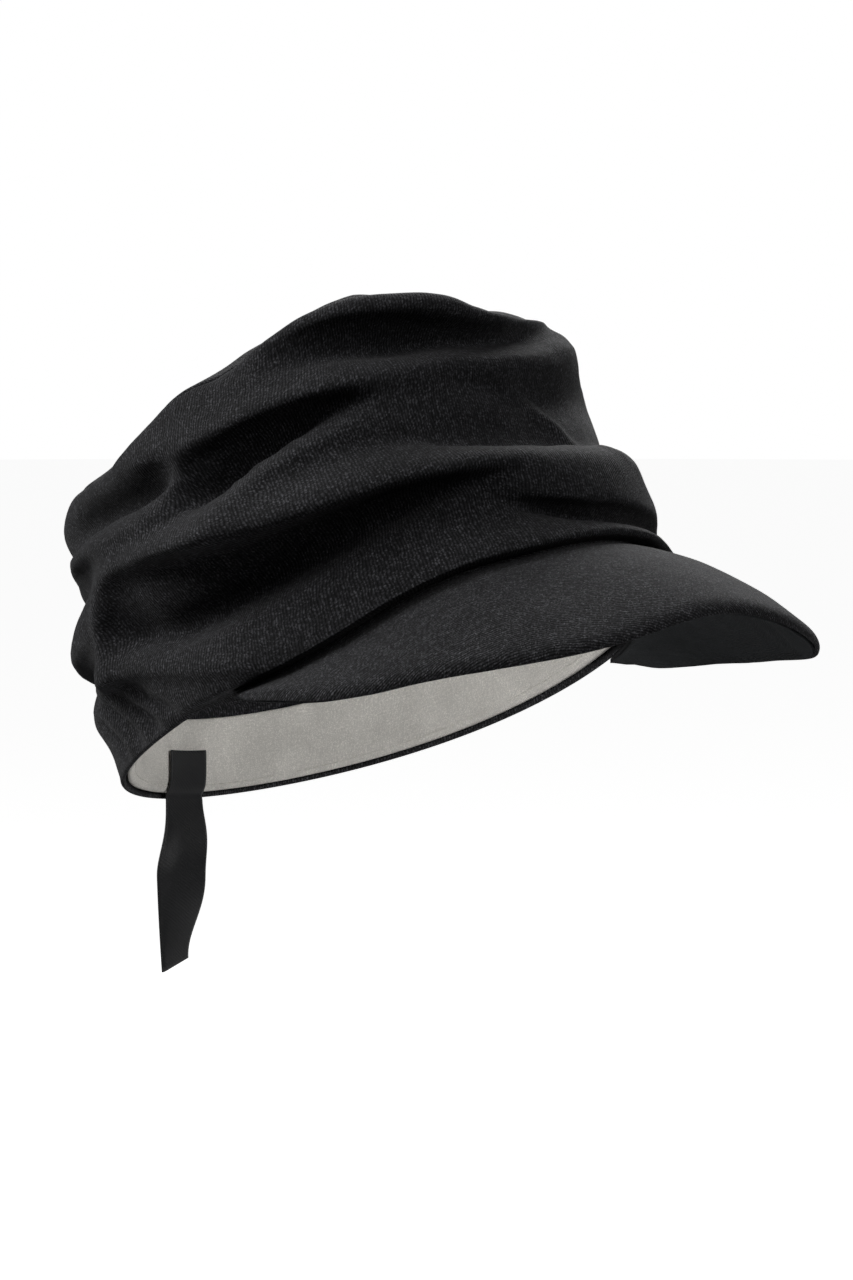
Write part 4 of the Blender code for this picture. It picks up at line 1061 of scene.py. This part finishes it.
floor_sheet = bmesh.new()
bmesh.ops.create_circle(floor_sheet, cap_ends=True, segments=96, radius=8,
                        matrix=Matrix.Translation((0, 0, -FLOOR_DEPTH)))
floor_mesh = bpy.data.meshes.new("studio_floor")
floor_sheet.to_mesh(floor_mesh)
floor_sheet.free()
floor = bpy.data.objects.new("studio_floor", floor_mesh)
bpy.context.scene.collection.objects.link(floor)
floor_paint, _, paper = new_material("pale_studio_paper")
paper.inputs["Base Color"].default_value = linear("#EFEFEE")
paper.inputs["Roughness"].default_value = 0.9
paper.inputs["Emission Color"].default_value = (1, 1, 1, 1)
paper.inputs["Emission Strength"].default_value = 0.95
floor_mesh.materials.append(floor_paint)
floor.visible_diffuse = False
floor.visible_glossy = False

world = bpy.data.worlds.new("studio")
bpy.context.scene.world = world
world.use_nodes = True
surround = world.node_tree.nodes["Background"]
surround.inputs["Color"].default_value = (1, 1, 1, 1)
seen = add(world.node_tree, "LightPath")
glow = add(world.node_tree, "MapRange", {0: seen.outputs["Is Camera Ray"], 3: 0.01, 4: 1.0})
world.node_tree.links.new(glow.outputs[0], surround.inputs["Strength"])


def soft_light(name, place, aim, width, height, power):
    """A rectangular soft box at a place, turned to what it lights."""
    lamp = bpy.data.lights.new(name, "AREA")
    lamp.shape = "RECTANGLE"
    lamp.size, lamp.size_y = width, height
    lamp.energy = power
    light = bpy.data.objects.new(name, lamp)
    light.location = place
    light.rotation_euler = (Vector(aim) - Vector(place)).to_track_quat("-Z", "Y").to_euler()
    light.visible_camera = False
    bpy.context.scene.collection.objects.link(light)


soft_light("right_box", (1.0, 0.6, 0.7), (0, 0, 0.03), 0.8, 0.8, 19)
soft_light("left_box", (-0.6, 1.2, 0.5), (0, 0, 0.03), 0.8, 0.8, 10)
soft_light("top_box", (-0.9, 0.3, 0.9), (0, 0, 0.03), 0.8, 0.8, 9)
soft_light("front_box", (0.1, -1.1, 0.8), (0, 0, 0.03), 0.8, 0.8, 5.6)
soft_light("low_card", (0, -0.05, -0.34), (0, -0.05, 0.03), 0.5, 0.5, 0.7)
soft_light("inner_glow", (-0.01, -0.02, 0), (0.03, 0.09, -0.035), 0.06, 0.04, 0.06)

level = math.cos(CAMERA_DIP)
ahead = Vector((math.sin(CAMERA_TURN) * level, math.cos(CAMERA_TURN) * level, -math.sin(CAMERA_DIP)))
right = Vector((math.cos(CAMERA_TURN), -math.sin(CAMERA_TURN), 0))
upward = right.cross(ahead)
aside = (PHOTO_WIDTH / 2 - ORIGIN_X) / LENS_PIXELS
above = (PHOTO_HEIGHT / 2 - ORIGIN_Y) / LENS_PIXELS
eye = CAMERA_DISTANCE * (aside * right - above * upward - ahead)
lens = bpy.data.cameras.new("camera")
lens.lens = LENS_PIXELS * CAMERA_SENSOR / PHOTO_HEIGHT
camera = bpy.data.objects.new("camera", lens)
camera.matrix_world = Matrix((right, upward, -ahead)).transposed().to_4x4()
camera.location = eye
bpy.context.scene.collection.objects.link(camera)
bpy.context.scene.camera = camera
bpy.context.scene.view_settings.view_transform = "Standard"
